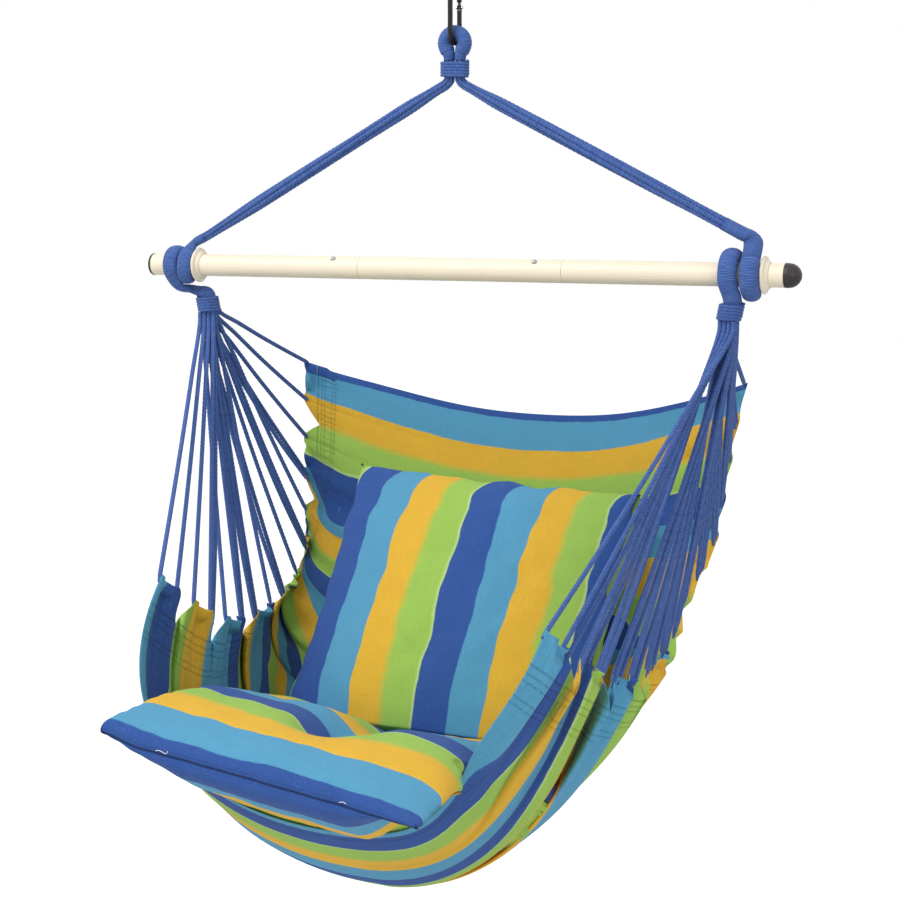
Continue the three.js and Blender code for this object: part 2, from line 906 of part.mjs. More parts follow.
const slingNormal = (u, v) => {
  const step = 0.004;
  const u0 = Math.max(u - step, -1);
  const u1 = Math.min(u + step, 1);
  const v0 = Math.max(v - step, 0);
  const v1 = Math.min(v + step, 1);
  const across = slingPoint(u1, v).sub(slingPoint(u0, v));
  const along = slingPoint(u, v1).sub(slingPoint(u, v0));
  return along.cross(across).normalize();
};

// Gathers at the cords, and the longer folds that run down from them
const foldedPoint = (u, v) => {
  const fromEdge = (1 - Math.abs(u)) * slingSpan;
  const pleat = Math.cos(2 * Math.PI * attachments * v) * pleatDepth;
  const broadFolds = 4;
  const phase = u < 0 ? 0.4 : 1.7;
  const hemFade = Math.sin(Math.PI * v);
  const fold = Math.sin(2 * Math.PI * broadFolds * v + phase) * foldDepth * hemFade;
  const nearEdge = Math.exp(-fromEdge / pleatReach);
  const farther = Math.exp(-fromEdge / foldReach) * (1 - nearEdge);
  const offset = pleat * nearEdge + fold * farther;
  return slingPoint(u, v).addScaledVector(slingNormal(u, v), offset);
};

const foldedNormal = (u, v) => {
  const step = 0.006;
  const u0 = Math.max(u - step, -1);
  const u1 = Math.min(u + step, 1);
  const v0 = Math.max(v - step, 0);
  const v1 = Math.min(v + step, 1);
  const across = foldedPoint(u1, v).sub(foldedPoint(u0, v));
  const along = foldedPoint(u, v1).sub(foldedPoint(u, v0));
  return along.cross(across).normalize();
};

const makeSling = () => {
  const acrossCount = 16;
  const alongCount = attachments * 2;
  const layer = (offset) => {
    const points = [];
    for (let j = 0; j <= alongCount; j++) {
      for (let i = 0; i <= acrossCount; i++) {
        const s = (2 * i) / acrossCount - 1;
        const u = Math.sin((s * Math.PI) / 2) * 0.35 + s * 0.65;
        const v = j / alongCount;
        const point = foldedPoint(u, v).addScaledVector(foldedNormal(u, v), offset);
        points.push(point.x, point.y, point.z);
      }
    }
    return points;
  };
  const inner = layer(clothThickness / 2);
  const outer = layer(-clothThickness / 2);
  const row = acrossCount + 1;
  const shift = inner.length / 3;
  const index = [];
  for (let j = 0; j < alongCount; j++) {
    for (let i = 0; i < acrossCount; i++) {
      const a = j * row + i;
      const b = a + 1;
      const c = a + row;
      const d = c + 1;
      index.push(a, c, b, b, c, d);
      index.push(shift + a, shift + b, shift + c, shift + b, shift + d, shift + c);
    }
  }
  const rim = [];
  for (let i = 0; i < acrossCount; i++) rim.push(i);
  for (let j = 0; j < alongCount; j++) rim.push(j * row + acrossCount);
  for (let i = acrossCount; i > 0; i--) rim.push(alongCount * row + i);
  for (let j = alongCount; j > 0; j--) rim.push(j * row);
  rim.forEach((from, k) => {
    const to = rim[(k + 1) % rim.length];
    index.push(from, to, shift + to, from, shift + to, shift + from);
  });
  const geometry = new THREE.BufferGeometry()
    .setAttribute("position", new THREE.Float32BufferAttribute([...inner, ...outer], 3))
    .setIndex(index);
  add("sling_cloth", onBar(geometry), stripedCotton);
};

// Cords fan out from each binding to the gathers on the sling's edge
const makeCord = (name, end, k) => {
  const half = (cordsPerSide - 1) / 2;
  const rowStep = (cordSpacing * cordRows) / cordsPerSide;
  const row = (k % cordRows) - (cordRows - 1) / 2;
  const start = new THREE.Vector3(
    tailX(end, -end.tailDrop) + row * cordSpacing,
    (half - k) * rowStep - end.tailAhead,
    -end.tailDrop - 2 * contactGap - tailLean * (row * cordSpacing + cordDiameter / 2),
  );
  const seat = foldedPoint(name === "left" ? -1 : 1, k / attachments);
  seat.x = Math.abs(seat.x);
  const pull = start.clone().sub(seat).normalize();
  const tip = seat.addScaledVector(pull, end === ends.left ? leftCordGap : rightCordGap);
  const shares = [0, 0.04, 0.25, 0.5, 0.75, 1];
  const points = shares.map((t) => {
    const spread = Math.pow(t, 1.12) * smooth(t, 0.02, 0.1);
    return new THREE.Vector3(
      lerp(start.x, tip.x, spread),
      lerp(start.y, tip.y, spread),
      lerp(start.z, tip.z, t),
    );
  });
  const curve = new THREE.CatmullRomCurve3(points, false, "centripetal");
  const cord = onBar(roundRod(curve, cordDiameter, 5, cordSides));
  const label = String(k + 1).padStart(2, "0");
  add("cord_" + name + "_" + label, name === "left" ? mirrored(cord) : cord, blueRope);
};

const makeCords = () => {
  for (const [name, end] of Object.entries(ends)) {
    for (let k = 0; k < cordsPerSide; k++) makeCord(name, end, k);
  }
};

// Cushions
// Points of the cloth, and of its surface carried on a little in front of the hem
const slingSamples = () => {
  const samples = [];
  const acrossCount = 72;
  const alongCount = 90;
  for (let i = 0; i <= acrossCount; i++) {
    const u = (2 * i) / acrossCount - 1;
    const sideRim = i === 0 || i === acrossCount;
    for (let j = 0; j <= alongCount; j++) {
      const v = j / alongCount;
      const onRim = sideRim || j === 0;
      samples.push({ point: foldedPoint(u, v), normal: foldedNormal(u, v), onRim });
    }
    const hem = foldedPoint(u, 1);
    const normal = foldedNormal(u, 1);
    const onward = hem.clone().sub(foldedPoint(u, 1 - 1 / alongCount)).normalize();
    for (let j = 1; j <= hemFollowSteps; j++) {
      const point = hem.clone().addScaledVector(onward, j * hemFollowReach);
      samples.push({ point, normal, onRim: sideRim || j === hemFollowSteps });
    }
  }
  return samples;
};

// The cloth pushes in what would pass through it
const pressInto = (point, samples, clearance) => {
  let nearest = samples[0];
  let least = Infinity;
  for (const sample of samples) {
    const distance = sample.point.distanceToSquared(point);
    if (distance < least) {
      least = distance;
      nearest = sample;
    }
  }
  if (nearest.onRim) return point;
  const depth = point.clone().sub(nearest.point).dot(nearest.normal);
  if (depth >= clearance) return point;
  return point.clone().addScaledVector(nearest.normal, clearance - depth);
};

// A stuffed square: drawn-in sides, soft corners, a crown on each face
const cushion = ({ width, depth, frontCrown, underCrown, place, press, dimple }) => {
  const cells = cushionCells;
  const positions = [];
  const index = [];
  const at = (i, j, face) => {
    const a = Math.sin(((2 * i) / cells - 1) * (Math.PI / 2));
    const b = Math.sin(((2 * j) / cells - 1) * (Math.PI / 2));
    const x = (width / 2) * a * (1 - cushionDrawIn * (1 - b * b));
    const y = (depth / 2) * b * (1 - cushionDrawIn * (1 - a * a));
    const rise = Math.pow((1 - a * a) * (1 - b * b), cushionFullness);
    const crown = face > 0 ? frontCrown : underCrown(b);
    const puff = face * (crown - dimple(x, y, face)) * rise;
    return press(place(new THREE.Vector3(x, y, puff)));
  };
  const number = new Map();
  const vertex = (i, j, face) => {
    const onSeam = i === 0 || j === 0 || i === cells || j === cells;
    const key = i + "," + j + "," + (onSeam ? 0 : face);
    if (!number.has(key)) {
      const point = at(i, j, onSeam ? 0 : face);
      number.set(key, positions.length / 3);
      positions.push(point.x, point.y, point.z);
    }
    return number.get(key);
  };
  for (const face of [1, -1]) {
    for (let i = 0; i < cells; i++) {
      for (let j = 0; j < cells; j++) {
        const a = vertex(i, j, face);
        const b = vertex(i + 1, j, face);
        const c = vertex(i + 1, j + 1, face);
        const d = vertex(i, j + 1, face);
        const flip = (i < cells / 2) === (j < cells / 2);
        const triangles = flip ? [a, b, c, a, c, d] : [a, b, d, b, c, d];
        if (face < 0) triangles.reverse();
        index.push(...triangles);
      }
    }
  }
  return new THREE.BufferGeometry()
    .setAttribute("position", new THREE.Float32BufferAttribute(positions, 3))
    .setIndex(index);
};

const makeCushions = () => {
  const samples = slingSamples();
  const clearance = clothThickness / 2 + clothGap + facetAllowance;
  const seatFrame = new THREE.Euler(degrees(-seatSlope), degrees(seatRoll), degrees(-seatTurn), "ZYX");
  const seatFront = new THREE.Vector3(-seatShiftLeft, -seatFrontAhead, -seatFrontDrop);
  const seatPlace = (point) =>
    new THREE.Vector3(point.x, point.y + seatDepth / 2, point.z).applyEuler(seatFrame).add(seatFront);
  const seatDimple = (x, y, face) => {
    if (face < 0) return 0;
    const distance = Math.hypot(x, y);
    return tuftDepth * Math.exp(-Math.pow(distance / tuftRadius, 2));
  };

  const backFrame = new THREE.Euler(degrees(90 - backLean), degrees(0), degrees(backTurn), "ZYX");
  const backTop = new THREE.Vector3(0, backTopBehind, -backTopDrop);
  const backPlace = (point) =>
    new THREE.Vector3(point.x, point.y - backHeight / 2, point.z)
      .applyAxisAngle(new THREE.Vector3(0, 0, 1), degrees(-backRoll))
      .applyEuler(backFrame)
      .add(backTop);

  // The two cushions meet along a slanting plane
  const meetPoint = new THREE.Vector3(0, -meetAhead, -meetDrop);
  const meetNormal = new THREE.Vector3(0, Math.cos(degrees(meetLean)), Math.sin(degrees(meetLean)));
  const keepSide = (point, sign) => {
    const depth = point.clone().sub(meetPoint).dot(meetNormal) * sign;
    if (depth >= cushionGap) return point;
    return point.clone().addScaledVector(meetNormal, sign * (cushionGap - depth));
  };

  const seat = cushion({
    width: seatWidth,
    depth: seatDepth,
    frontCrown: seatTopCrown,
    underCrown: (b) => seatUnderCrown * lerp(seatUnderFrontShare, 1, smooth(b, -1, seatUnderFullFrom)),
    place: seatPlace,
    press: (point) => pressInto(keepSide(point, -1), samples, clearance),
    dimple: seatDimple,
  });
  add("seat_cushion", onBar(seat), stripedCotton);

  const back = cushion({
    width: backWidth,
    depth: backHeight,
    frontCrown: backFrontCrown,
    underCrown: () => backRearCrown,
    place: backPlace,
    press: (point) => pressInto(keepSide(point, 1), samples, clearance),
    dimple: () => 0,
  });
  add("back_cushion", onBar(back), stripedCotton);
};

makeHook();
makeGate();
makeLoop();
makeNeck();
makeBar();
makeCaps();
makeCollars();
makeButton("left", seamLeft - buttonSetback);
makeButton("right", seamRight - buttonSetback);
makeEnd("right", (geometry) => geometry);
makeEnd("left", mirrored);
makeSling();
makeCords();
makeCushions();

export default root;
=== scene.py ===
# %% [markdown]
# # A hammock chair, dressed in Blender
#
# The chair comes from CAD as separate pieces in metres: the inside top of the snap hook is the
# origin, Z is up, X runs along the bar and the sitter faces -Y. The hard pieces keep their CAD
# shape and get a finish. The ropes, the cloth and the cushions are made anew here, on the same
# routes and surfaces as in CAD, because their CAD solids are plain stand-ins.

import math

import bmesh
import bpy
import numpy as np
from mathutils import Euler, Matrix, Vector, kdtree, noise


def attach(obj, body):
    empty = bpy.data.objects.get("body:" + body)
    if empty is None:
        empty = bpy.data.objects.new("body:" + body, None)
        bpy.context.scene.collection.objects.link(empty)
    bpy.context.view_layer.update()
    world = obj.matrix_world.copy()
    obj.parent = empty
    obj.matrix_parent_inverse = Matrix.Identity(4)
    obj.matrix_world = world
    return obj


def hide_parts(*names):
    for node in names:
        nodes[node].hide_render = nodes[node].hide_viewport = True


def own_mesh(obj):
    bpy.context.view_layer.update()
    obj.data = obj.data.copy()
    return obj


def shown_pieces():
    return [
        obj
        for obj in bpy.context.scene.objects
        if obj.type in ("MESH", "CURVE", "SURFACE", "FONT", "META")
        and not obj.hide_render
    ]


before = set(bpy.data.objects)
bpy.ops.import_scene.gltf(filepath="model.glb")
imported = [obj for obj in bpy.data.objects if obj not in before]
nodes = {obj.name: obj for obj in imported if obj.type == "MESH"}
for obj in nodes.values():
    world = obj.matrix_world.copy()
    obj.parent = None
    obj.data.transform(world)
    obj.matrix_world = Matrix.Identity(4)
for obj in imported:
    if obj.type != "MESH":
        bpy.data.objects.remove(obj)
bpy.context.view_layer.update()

# %% [markdown]
# ## Camera
# The photograph was taken from about 2.7 m away, from a little above the bar and 22 degrees to
# the side. A long lens keeps the two ropes and the bar in the picture's proportions.

# %% Place the camera
camera_data = bpy.data.cameras.new("camera")
camera_data.lens = 78.4
camera_data.sensor_width = 36
camera_data.shift_x = -0.005
camera = bpy.data.objects.new("camera", camera_data)
camera.location = (1.052, -2.541, -0.26)
camera.rotation_euler = (math.radians(90 - 7.76), 0, math.radians(22.5))
bpy.context.scene.collection.objects.link(camera)
bpy.context.scene.camera = camera
print("the camera stands", round(camera.location.length, 2), "metres from the hook")

# %% [markdown]
# ## Routes
# A rope is a route and a section. The route runs smoothly through a few points, and it has to be
# walked in even steps, so that the twist of the rope keeps its pitch. This is a centripetal
# Catmull-Rom curve, the one that the CAD source uses too, so both give the same rope.

# %% Smooth routes through points
MM = 0.001
BAR_DROP = 380.0


def smooth(value, low, high):
    share = np.clip((np.asarray(value, float) - low) / (high - low), 0, 1)
    return share * share * (3 - 2 * share)


def mix(a, b, share):
    return a + (b - a) * share


def hump(value, middle, width):
    """A smooth hump, 1 high at its middle."""
    return np.exp(-(((value - middle) / width) ** 2))


class Route:
    """A smooth curve through points, read by its share of the length."""

    def __init__(self, points, divisions=200):
        self.points = np.array(points, float)
        steps = np.linspace(0, 1, divisions + 1)
        walked = np.linalg.norm(np.diff(self.raw(steps), axis=0), axis=1)
        self.steps = steps
        self.lengths = np.concatenate([[0], np.cumsum(walked)])
        self.length = float(self.lengths[-1])

    def raw(self, t):
        points = self.points
        count = len(points)
        place = np.clip(np.asarray(t, float), 0, 1) * (count - 1)
        index = np.minimum(place.astype(int), count - 2)
        weight = (place - index)[..., None]
        ends = np.vstack([2 * points[0] - points[1], points, 2 * points[-1] - points[-2]])
        p0, p1, p2, p3 = (ends[index + k] for k in range(4))
        d0, d1, d2 = (
            np.sum((b - a) ** 2, axis=-1, keepdims=True) ** 0.25
            for a, b in ((p0, p1), (p1, p2), (p2, p3))
        )
        t1 = ((p1 - p0) / d0 - (p2 - p0) / (d0 + d1) + (p2 - p1) / d1) * d1
        t2 = ((p2 - p1) / d1 - (p3 - p1) / (d1 + d2) + (p3 - p2) / d2) * d1
        c2 = -3 * p1 + 3 * p2 - 2 * t1 - t2
        c3 = 2 * p1 - 2 * p2 + t1 + t2
        return p1 + weight * (t1 + weight * (c2 + weight * c3))

    def at(self, share):
        walked = np.clip(np.asarray(share, float), 0, 1) * self.length
        return self.raw(np.interp(walked, self.lengths, self.steps))

    def heading(self, share):
        step = 0.0005
        share = np.asarray(share, float)
        way = self.at(np.minimum(share + step, 1)) - self.at(np.maximum(share - step, 0))
        return way / np.linalg.norm(way, axis=-1, keepdims=True)


arch = Route([(0, 0, 0), (30, 0, 30), (60, 0, 0)])
print("an arch 60 mm wide and 30 mm high is", round(arch.length, 1), "mm long")

# %% [markdown]
# ## A grid rolled into a rope
# Blender's grid operator gives a flat sheet with a UV map. Its length is laid along the route and
# its width is rolled round it, the two long edges are welded, and the two ends are closed. U then
# counts along the rope and V round it, which is what a twisted finish needs. A bevelled curve
# could do the round cords, but not a served rope that is pressed flat round the bar.


# %% Roll a grid along a route
def finished_mesh(name, bm):
    mesh = bpy.data.meshes.new(name)
    bm.to_mesh(mesh)
    bm.free()
    mesh.polygons.foreach_set("use_smooth", np.ones(len(mesh.polygons), bool))
    piece = bpy.data.objects.new(name, mesh)
    bpy.context.scene.collection.objects.link(piece)
    return piece


def dress(piece, body, node):
    """The piece moves with a body and is shown instead of a CAD node."""
    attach(piece, body)
    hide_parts(node)


def grid(along, across):
    """A flat grid and the share of each vertex along and across, from 0 to 1."""
    bm = bmesh.new()
    bm.loops.layers.uv.new("UVMap")
    bmesh.ops.create_grid(bm, x_segments=along, y_segments=across, size=0.5, calc_uvs=True)
    corners = np.array([v.co for v in bm.verts])
    return bm, corners[:, 0] + 0.5, corners[:, 1] + 0.5


def move_to(bm, points):
    for vertex, point in zip(bm.verts, points):
        vertex.co = point


def rope_frame(route, share, facing):
    """The route's point, the direction of the rope's thickness, and that of its breadth."""
    centre = route.at(share)
    way = route.heading(share)
    normal = facing(centre)
    normal = normal - np.sum(normal * way, axis=-1, keepdims=True) * way
    normal = normal / np.linalg.norm(normal, axis=-1, keepdims=True)
    return centre, normal, np.cross(way, normal)


def along_y(centre):
    return np.broadcast_to([0.0, 1.0, 0.0], centre.shape)


def upward(centre):
    return np.broadcast_to([0.0, 0.0, 1.0], centre.shape)


def away_from_bar(centre):
    away = centre * np.array([0.0, 1.0, 1.0])
    return away / np.linalg.norm(away, axis=-1, keepdims=True)


def rope(name, route, sides, ring_gap, size_at, facing, drop=BAR_DROP, mirror=False):
    """A closed rope of route's length. size_at gives half the thickness and half the breadth."""
    rings = max(int(route.length / ring_gap), 4)
    bm, share, around = grid(rings, sides)
    angle = 2 * np.pi * around
    centre, normal, across = rope_frame(route, share, facing)
    thick, broad = size_at(share, angle, centre)
    points = centre + normal * (np.cos(angle) * thick)[:, None]
    points = points + across * (np.sin(angle) * broad)[:, None]
    points[:, 2] -= drop
    if mirror:
        points[:, 0] *= -1
    move_to(bm, points * MM)
    bmesh.ops.remove_doubles(bm, verts=bm.verts, dist=1e-6)
    bmesh.ops.holes_fill(bm, edges=bm.edges, sides=0)
    bmesh.ops.recalc_face_normals(bm, faces=bm.faces)
    piece = finished_mesh(name, bm)
    layer = piece.data.uv_layers[0].data
    pairs = np.zeros(len(layer) * 2)
    layer.foreach_get("uv", pairs)
    pairs[0::2] *= route.length * MM
    layer.foreach_set("uv", pairs)
    return piece


print("a grid of 4 by 3 cells has", len(grid(4, 3)[1]), "vertices to roll up")

# %% [markdown]
# ## Sizes
# These sizes in millimetres are those of the CAD source. The two ends of the bar differ, as they
# do in the photograph: the right hitch is thicker and sits inside its collar, and the left one
# sits outside. Each hitch ends in a tail below the bar, where the cords begin.

# %% Sizes of ropes and bar
TUBE = 32.0
RIGHT_COLLAR = 438.5
LEFT_COLLAR = 410.0
HOOK_ROD = 7.0
HOOK_WIDTH = 40.0
HOOK_HEIGHT = 80.0
CONTACT = 0.3
TURNING = 0.5
LOOP_ROPE = 21.0
NECK_ROPE = 16.0
UPPER_ROPE = 20.0
TAIL_ROPE = 25.0
NECK_BOTTOM = 264.0
BINDING_CORD = 3.5
BINDING_GAP = 0.55
TURNS = 5
BINDING_HEIGHT = TURNS * (BINDING_CORD + BINDING_GAP) + BINDING_CORD
TAIL_LEAN = 0.2
ROPE_SLOPE = 0.51
CORD = 6.0
CORD_SPACING = 6.4
CORDS = 16
CORD_ROWS = 4

ENDS = {
    "right": dict(
        start=18.5, thickness=19.0, breadth=26.0, tail_drop=60.0, ahead=13.0, inset=-7.0, entry=46.0,
        inner=RIGHT_COLLAR - CONTACT - 26 * 1.5 - 3, outer=RIGHT_COLLAR - CONTACT - 26 / 2,
    ),
    "left": dict(
        start=14.0, thickness=12.0, breadth=23.0, tail_drop=69.5, ahead=-16.0, inset=11.0, entry=29.0,
        inner=LEFT_COLLAR + CONTACT + 23 / 2, outer=LEFT_COLLAR + CONTACT + 23 * 1.5 + 1,
    ),
}
for end in ENDS.values():
    end["radius"] = TUBE / 2 + TURNING + end["thickness"] / 2


def tail_x(end, z):
    return end["inner"] - end["inset"] - TAIL_LEAN * (-z - end["radius"])


print("a binding is", BINDING_HEIGHT, "mm high; cords on each side:", CORDS)

# %% [markdown]
# ## The sling's surface
# The cloth hangs between a back hem, a front hem and two gathered side edges. A cloth simulation
# could find its shape, but the cords and cushions would have to be fitted to the outcome. Here
# one function gives any point of the cloth, on the same surface as in CAD: u runs across from -1
# to 1 and v from the back hem to the front hem.

# %% Where the cloth hangs
ATTACHMENTS = CORDS - 1
SCALLOP = 16.0
PLEAT = 8.0
PLEAT_REACH = 60.0
FOLD = 7.0
FOLD_REACH = 190.0


def through(start, first_shares, middle, second_shares, end):
    """A route through three points, which bends as the shares of the way between them say."""
    start, middle, end = (np.array(p, float) for p in (start, middle, end))
    points = [start]
    points += [start + (middle - start) * np.array(s) for s in first_shares]
    points += [middle]
    points += [middle + (end - middle) * np.array(s) for s in second_shares]
    points += [end]
    return Route(points)


BACK_CORNER, FRONT_CORNER = (363, 250, -170), (275, -355, -405)
EDGE_LOW = (mix(363, 275, 0.72), -90, -518)
BACK_HEM, FRONT_HEM = (0, 300, -235), (0, -400, -697)
SEAT_LOW = (0, -180, -828)
edge_line = through(
    BACK_CORNER,
    [
        (0.17, 0.065, 0.23), (0.32, 0.112, 0.46), (0.48, 0.182, 0.704), (0.65, 0.382, 0.897),
        (0.81, 0.676, 0.983),
    ],
    EDGE_LOW,
    [(0.4, 0.377, 0.23), (0.72, 0.698, 0.602)],
    FRONT_CORNER,
)
centre_line = through(
    BACK_HEM,
    [
        (0, 0.108, 0.185), (0, 0.229, 0.371), (0, 0.365, 0.556), (0, 0.531, 0.75), (0, 0.688, 0.894),
        (0, 0.844, 0.978),
    ],
    SEAT_LOW,
    [(0, 0.305, 0.122), (0, 0.5, 0.298), (0, 0.673, 0.519), (0, 0.845, 0.74)],
    FRONT_HEM,
)
span = float(np.linalg.norm(edge_line.at(0.7) - centre_line.at(0.7)))
print("edge", round(edge_line.length), "mm, middle", round(centre_line.length), "mm, span", round(span), "mm")

# How far out and up the wall of the sling bulges: open at the back, full round the seat, tight at the hem
OPEN_SHARES = (0.333, 0.667, 0.333)
FULL_SHARES = {-1: (0.66, 1.2, 0.3), 1: (0.38, 0.8, 0.28)}
HEM_SHARES = {-1: (0.66, 1.32, 0.3), 1: (0.5, 0.7, 0.15)}


def sling_point(u, v):
    """A point of the smooth sling, before pleats, folds and tabs."""
    u, v = np.broadcast_arrays(np.asarray(u, float), np.asarray(v, float))
    side = np.where(u < 0, -1.0, 1.0)
    wave = np.cos(2 * np.pi * ATTACHMENTS * v)
    t = np.abs(u) * (1 - (SCALLOP / span) * (0.5 - 0.5 * wave))
    fill, tight = smooth(v, 0.12, 0.5), smooth(v, 0.78, 1)
    flat, wall, rise = (
        mix(
            mix(OPEN_SHARES[i], np.where(side > 0, FULL_SHARES[1][i], FULL_SHARES[-1][i]), fill),
            np.where(side > 0, HEM_SHARES[1][i], HEM_SHARES[-1][i]),
            tight,
        )
        for i in range(3)
    )
    a, b, c = 3 * (1 - t) ** 2 * t, 3 * (1 - t) * t * t, t**3
    across, lift = a * flat + b * wall + c, b * rise + c
    edge, centre = edge_line.at(v), centre_line.at(v)
    return np.stack(
        [
            side * edge[..., 0] * across,
            mix(centre[..., 1], edge[..., 1], lift),
            mix(centre[..., 2], edge[..., 2], lift),
        ],
        axis=-1,
    )


def normal_of(surface, u, v, step):
    across = surface(np.minimum(u + step, 1), v) - surface(np.maximum(u - step, -1), v)
    along = surface(u, np.minimum(v + step, 1)) - surface(u, np.maximum(v - step, 0))
    normal = np.cross(along, across)
    return normal / np.linalg.norm(normal, axis=-1, keepdims=True)


def folded_point(u, v):
    """A point of the sling with the small pleats at its edge and the broad folds below them."""
    u, v = np.broadcast_arrays(np.asarray(u, float), np.asarray(v, float))
    from_edge = (1 - np.abs(u)) * span
    near = np.exp(-from_edge / PLEAT_REACH)
    farther = np.exp(-from_edge / FOLD_REACH) * (1 - near)
    pleat = np.cos(2 * np.pi * ATTACHMENTS * v) * PLEAT
    fold = np.sin(8 * np.pi * v + np.where(u < 0, 0.4, 1.7)) * FOLD * np.sin(np.pi * v)
    offset = pleat * near + fold * farther
    return sling_point(u, v) + normal_of(sling_point, u, v, 0.004) * offset[..., None]


lowest = sling_point(0, np.linspace(0, 1, 200))[:, 2].min()
print("the lowest point of the sling's middle is", -round(lowest), "mm below the bar")

# %% [markdown]
# ## Tabs and gathers
# Each cord runs down to the edge, through the side hem, and up again from the next corner. So
# the edge is a row of flat tabs with a notch between them, and the cloth gathers into deep folds
# at some of the notches. Both fade out within a hand's breadth of the edge. A fold is given by
# its place on the edge, its depth, its width and how far in it reaches.

# %% Shape the gathered edge
CORNER_PATCH = 0.885
TAB_DIP = 3.0
NOTCH_DIP = 30.0
TAB_FADE = 32.0
TAB_SWELL = {-1: 9.0, 1: -9.0}
SWAY = {-1: 20.0, 1: -13.0}
FOLD_INTO = {-1: np.array([-0.47, 0.87, -0.15]), 1: np.array([-0.31, 0.93, -0.18])}
FOLDS = {
    -1: [
        (0.215, 42, 0.022, 110), (0.315, 34, 0.012, 90), (0.443, 55, 0.009, 130), (0.492, 34, 0.005, 110),
        (0.632, 65, 0.008, 190), (0.765, 12, 0.006, 60), (0.893, 24, 0.006, 120),
    ],
    1: [
        (0.10, 12, 0.012, 60), (0.235, 18, 0.012, 80), (0.41, 30, 0.008, 90), (0.53, 30, 0.008, 110),
        (0.64, 12, 0.007, 80), (0.790, 70, 0.0075, 420), (0.858, 14, 0.005, 90), (0.915, 18, 0.008, 200),
    ],
}


def from_nominal_edge(u, v):
    """Which part of the whole cloth a point shows, once the notches between the tabs are cut in."""
    p = ATTACHMENTS * v
    part = p - np.floor(p)
    even = 0.5 - 0.5 * np.cos(2 * np.pi * part)
    flat_top = np.minimum(even * 2.2, 1)
    notch = np.clip(1 - np.abs(2 * part - 1), 0, 1) ** 1.3
    wanted = np.where(np.floor(p) % 2 == 0, TAB_DIP * flat_top, NOTCH_DIP * notch)
    wanted = mix(SCALLOP * even, wanted, np.where(u > 0, smooth(v, 0.42, 0.56), 1))
    from_edge = (1 - np.abs(u)) * span
    return np.abs(u) - (wanted - SCALLOP * even) * np.exp(-from_edge / TAB_FADE) / span


def slack(u, v, side):
    """How far the cloth lies from its nominal shape, across and up, where the picture shows slack."""
    back, front = 1 - smooth(v, 0, 0.2), smooth(v, 0.85, 1)
    lift = (8 * hump(u, -0.66, 0.36) - 4 * hump(u, 0.4, 0.3)) * back
    lift = lift + 8 * (1 - smooth(np.abs(u), 0.3, 0.8)) * front
    lift = lift + np.where(side < 0, SWAY[-1], SWAY[1]) * smooth(v, 0.3, 0.7) * np.abs(u) ** 3
    lift = lift + 3 * smooth(-u, CORNER_PATCH, CORNER_PATCH + 0.012) * (1 - smooth(v, 0.004, 0.03))
    lift = lift + 14 * hump(u, 0.55, 0.15) * smooth(v, 0.9, 1)
    aside = -25 * hump(u, 0.74, 0.17) * smooth(v, 0.8, 1)
    aside = aside - np.where(side > 0, 15 * hump(v, 0.39, 0.07) * np.abs(u) ** 3, 0)
    return np.stack([aside, 0 * lift, lift], axis=-1)


def cloth_point(u, v):
    """A point of the finished cloth."""
    u, v = np.broadcast_arrays(np.asarray(u, float), np.asarray(v, float))
    side = np.where(u < 0, -1, 1)
    inward = from_nominal_edge(u, v)
    from_edge = (1 - np.abs(u)) * span
    between_cords = np.sin(np.pi * ATTACHMENTS * v)
    place = folded_point(np.where(u < 0, -inward, inward), v) + slack(u, v, side)
    hold = mix(1, between_cords**2, np.exp(-from_edge / 25))
    for hand, folds in FOLDS.items():
        for middle, deep, width, fade in folds:
            crease = deep * hump(v, middle, width) * np.exp(-from_edge / fade)
            place = place + np.where(side == hand, crease * hold, 0)[..., None] * FOLD_INTO[hand]
    swell = np.where(side < 0, TAB_SWELL[-1], TAB_SWELL[1]) * np.exp(-from_edge / 110)
    swell = swell * np.where(side > 0, smooth(v, 0.4, 0.6), 1)
    offset = swell * np.abs(between_cords) ** 0.7
    return place + normal_of(sling_point, u, v, 0.004) * offset[..., None]


print("folds at the left and at the right edge:", len(FOLDS[-1]), len(FOLDS[1]))

# %% [markdown]
# ## Where the stripes lie
# There are 24 whole stripes and a narrow strip at each hem. Along the side edges the cloth is
# gathered, so a fold swallows some of them: each list gives the places of the stripes' borders
# along one edge, as shares of the edge from the back hem to the front hem, read from the picture.

# %% Stripes along the edges and down the middle
HEM_STRIPE = 0.7
STRIPES = 25.3
LEFT_BORDERS = [
    0.012, 0.055, 0.10, 0.165, 0.185, 0.20, 0.235, 0.26, 0.285, 0.30, 0.36, 0.43, 0.44, 0.455, 0.49,
    0.495, 0.55, 0.60, 0.63, 0.645, 0.69, 0.80, 0.87, 0.90, 0.98,
]
RIGHT_BORDERS = [
    0.01, 0.045, 0.105, 0.155, 0.21, 0.262, 0.36, 0.39, 0.40, 0.41, 0.45, 0.52, 0.535, 0.55, 0.61,
    0.672, 0.693, 0.79, 0.803, 0.849, 0.86, 0.869, 0.912, 0.917, 0.945,
]
MIDDLE_BORDERS = [0.01] + [0.013 + 0.043 * n for n in range(1, 16)] + [0.709, 0.76]
MIDDLE_BORDERS += [0.811 + 0.03 * n for n in range(7)]
PATCH_STRIPE = 0.85
PULL = 0.065


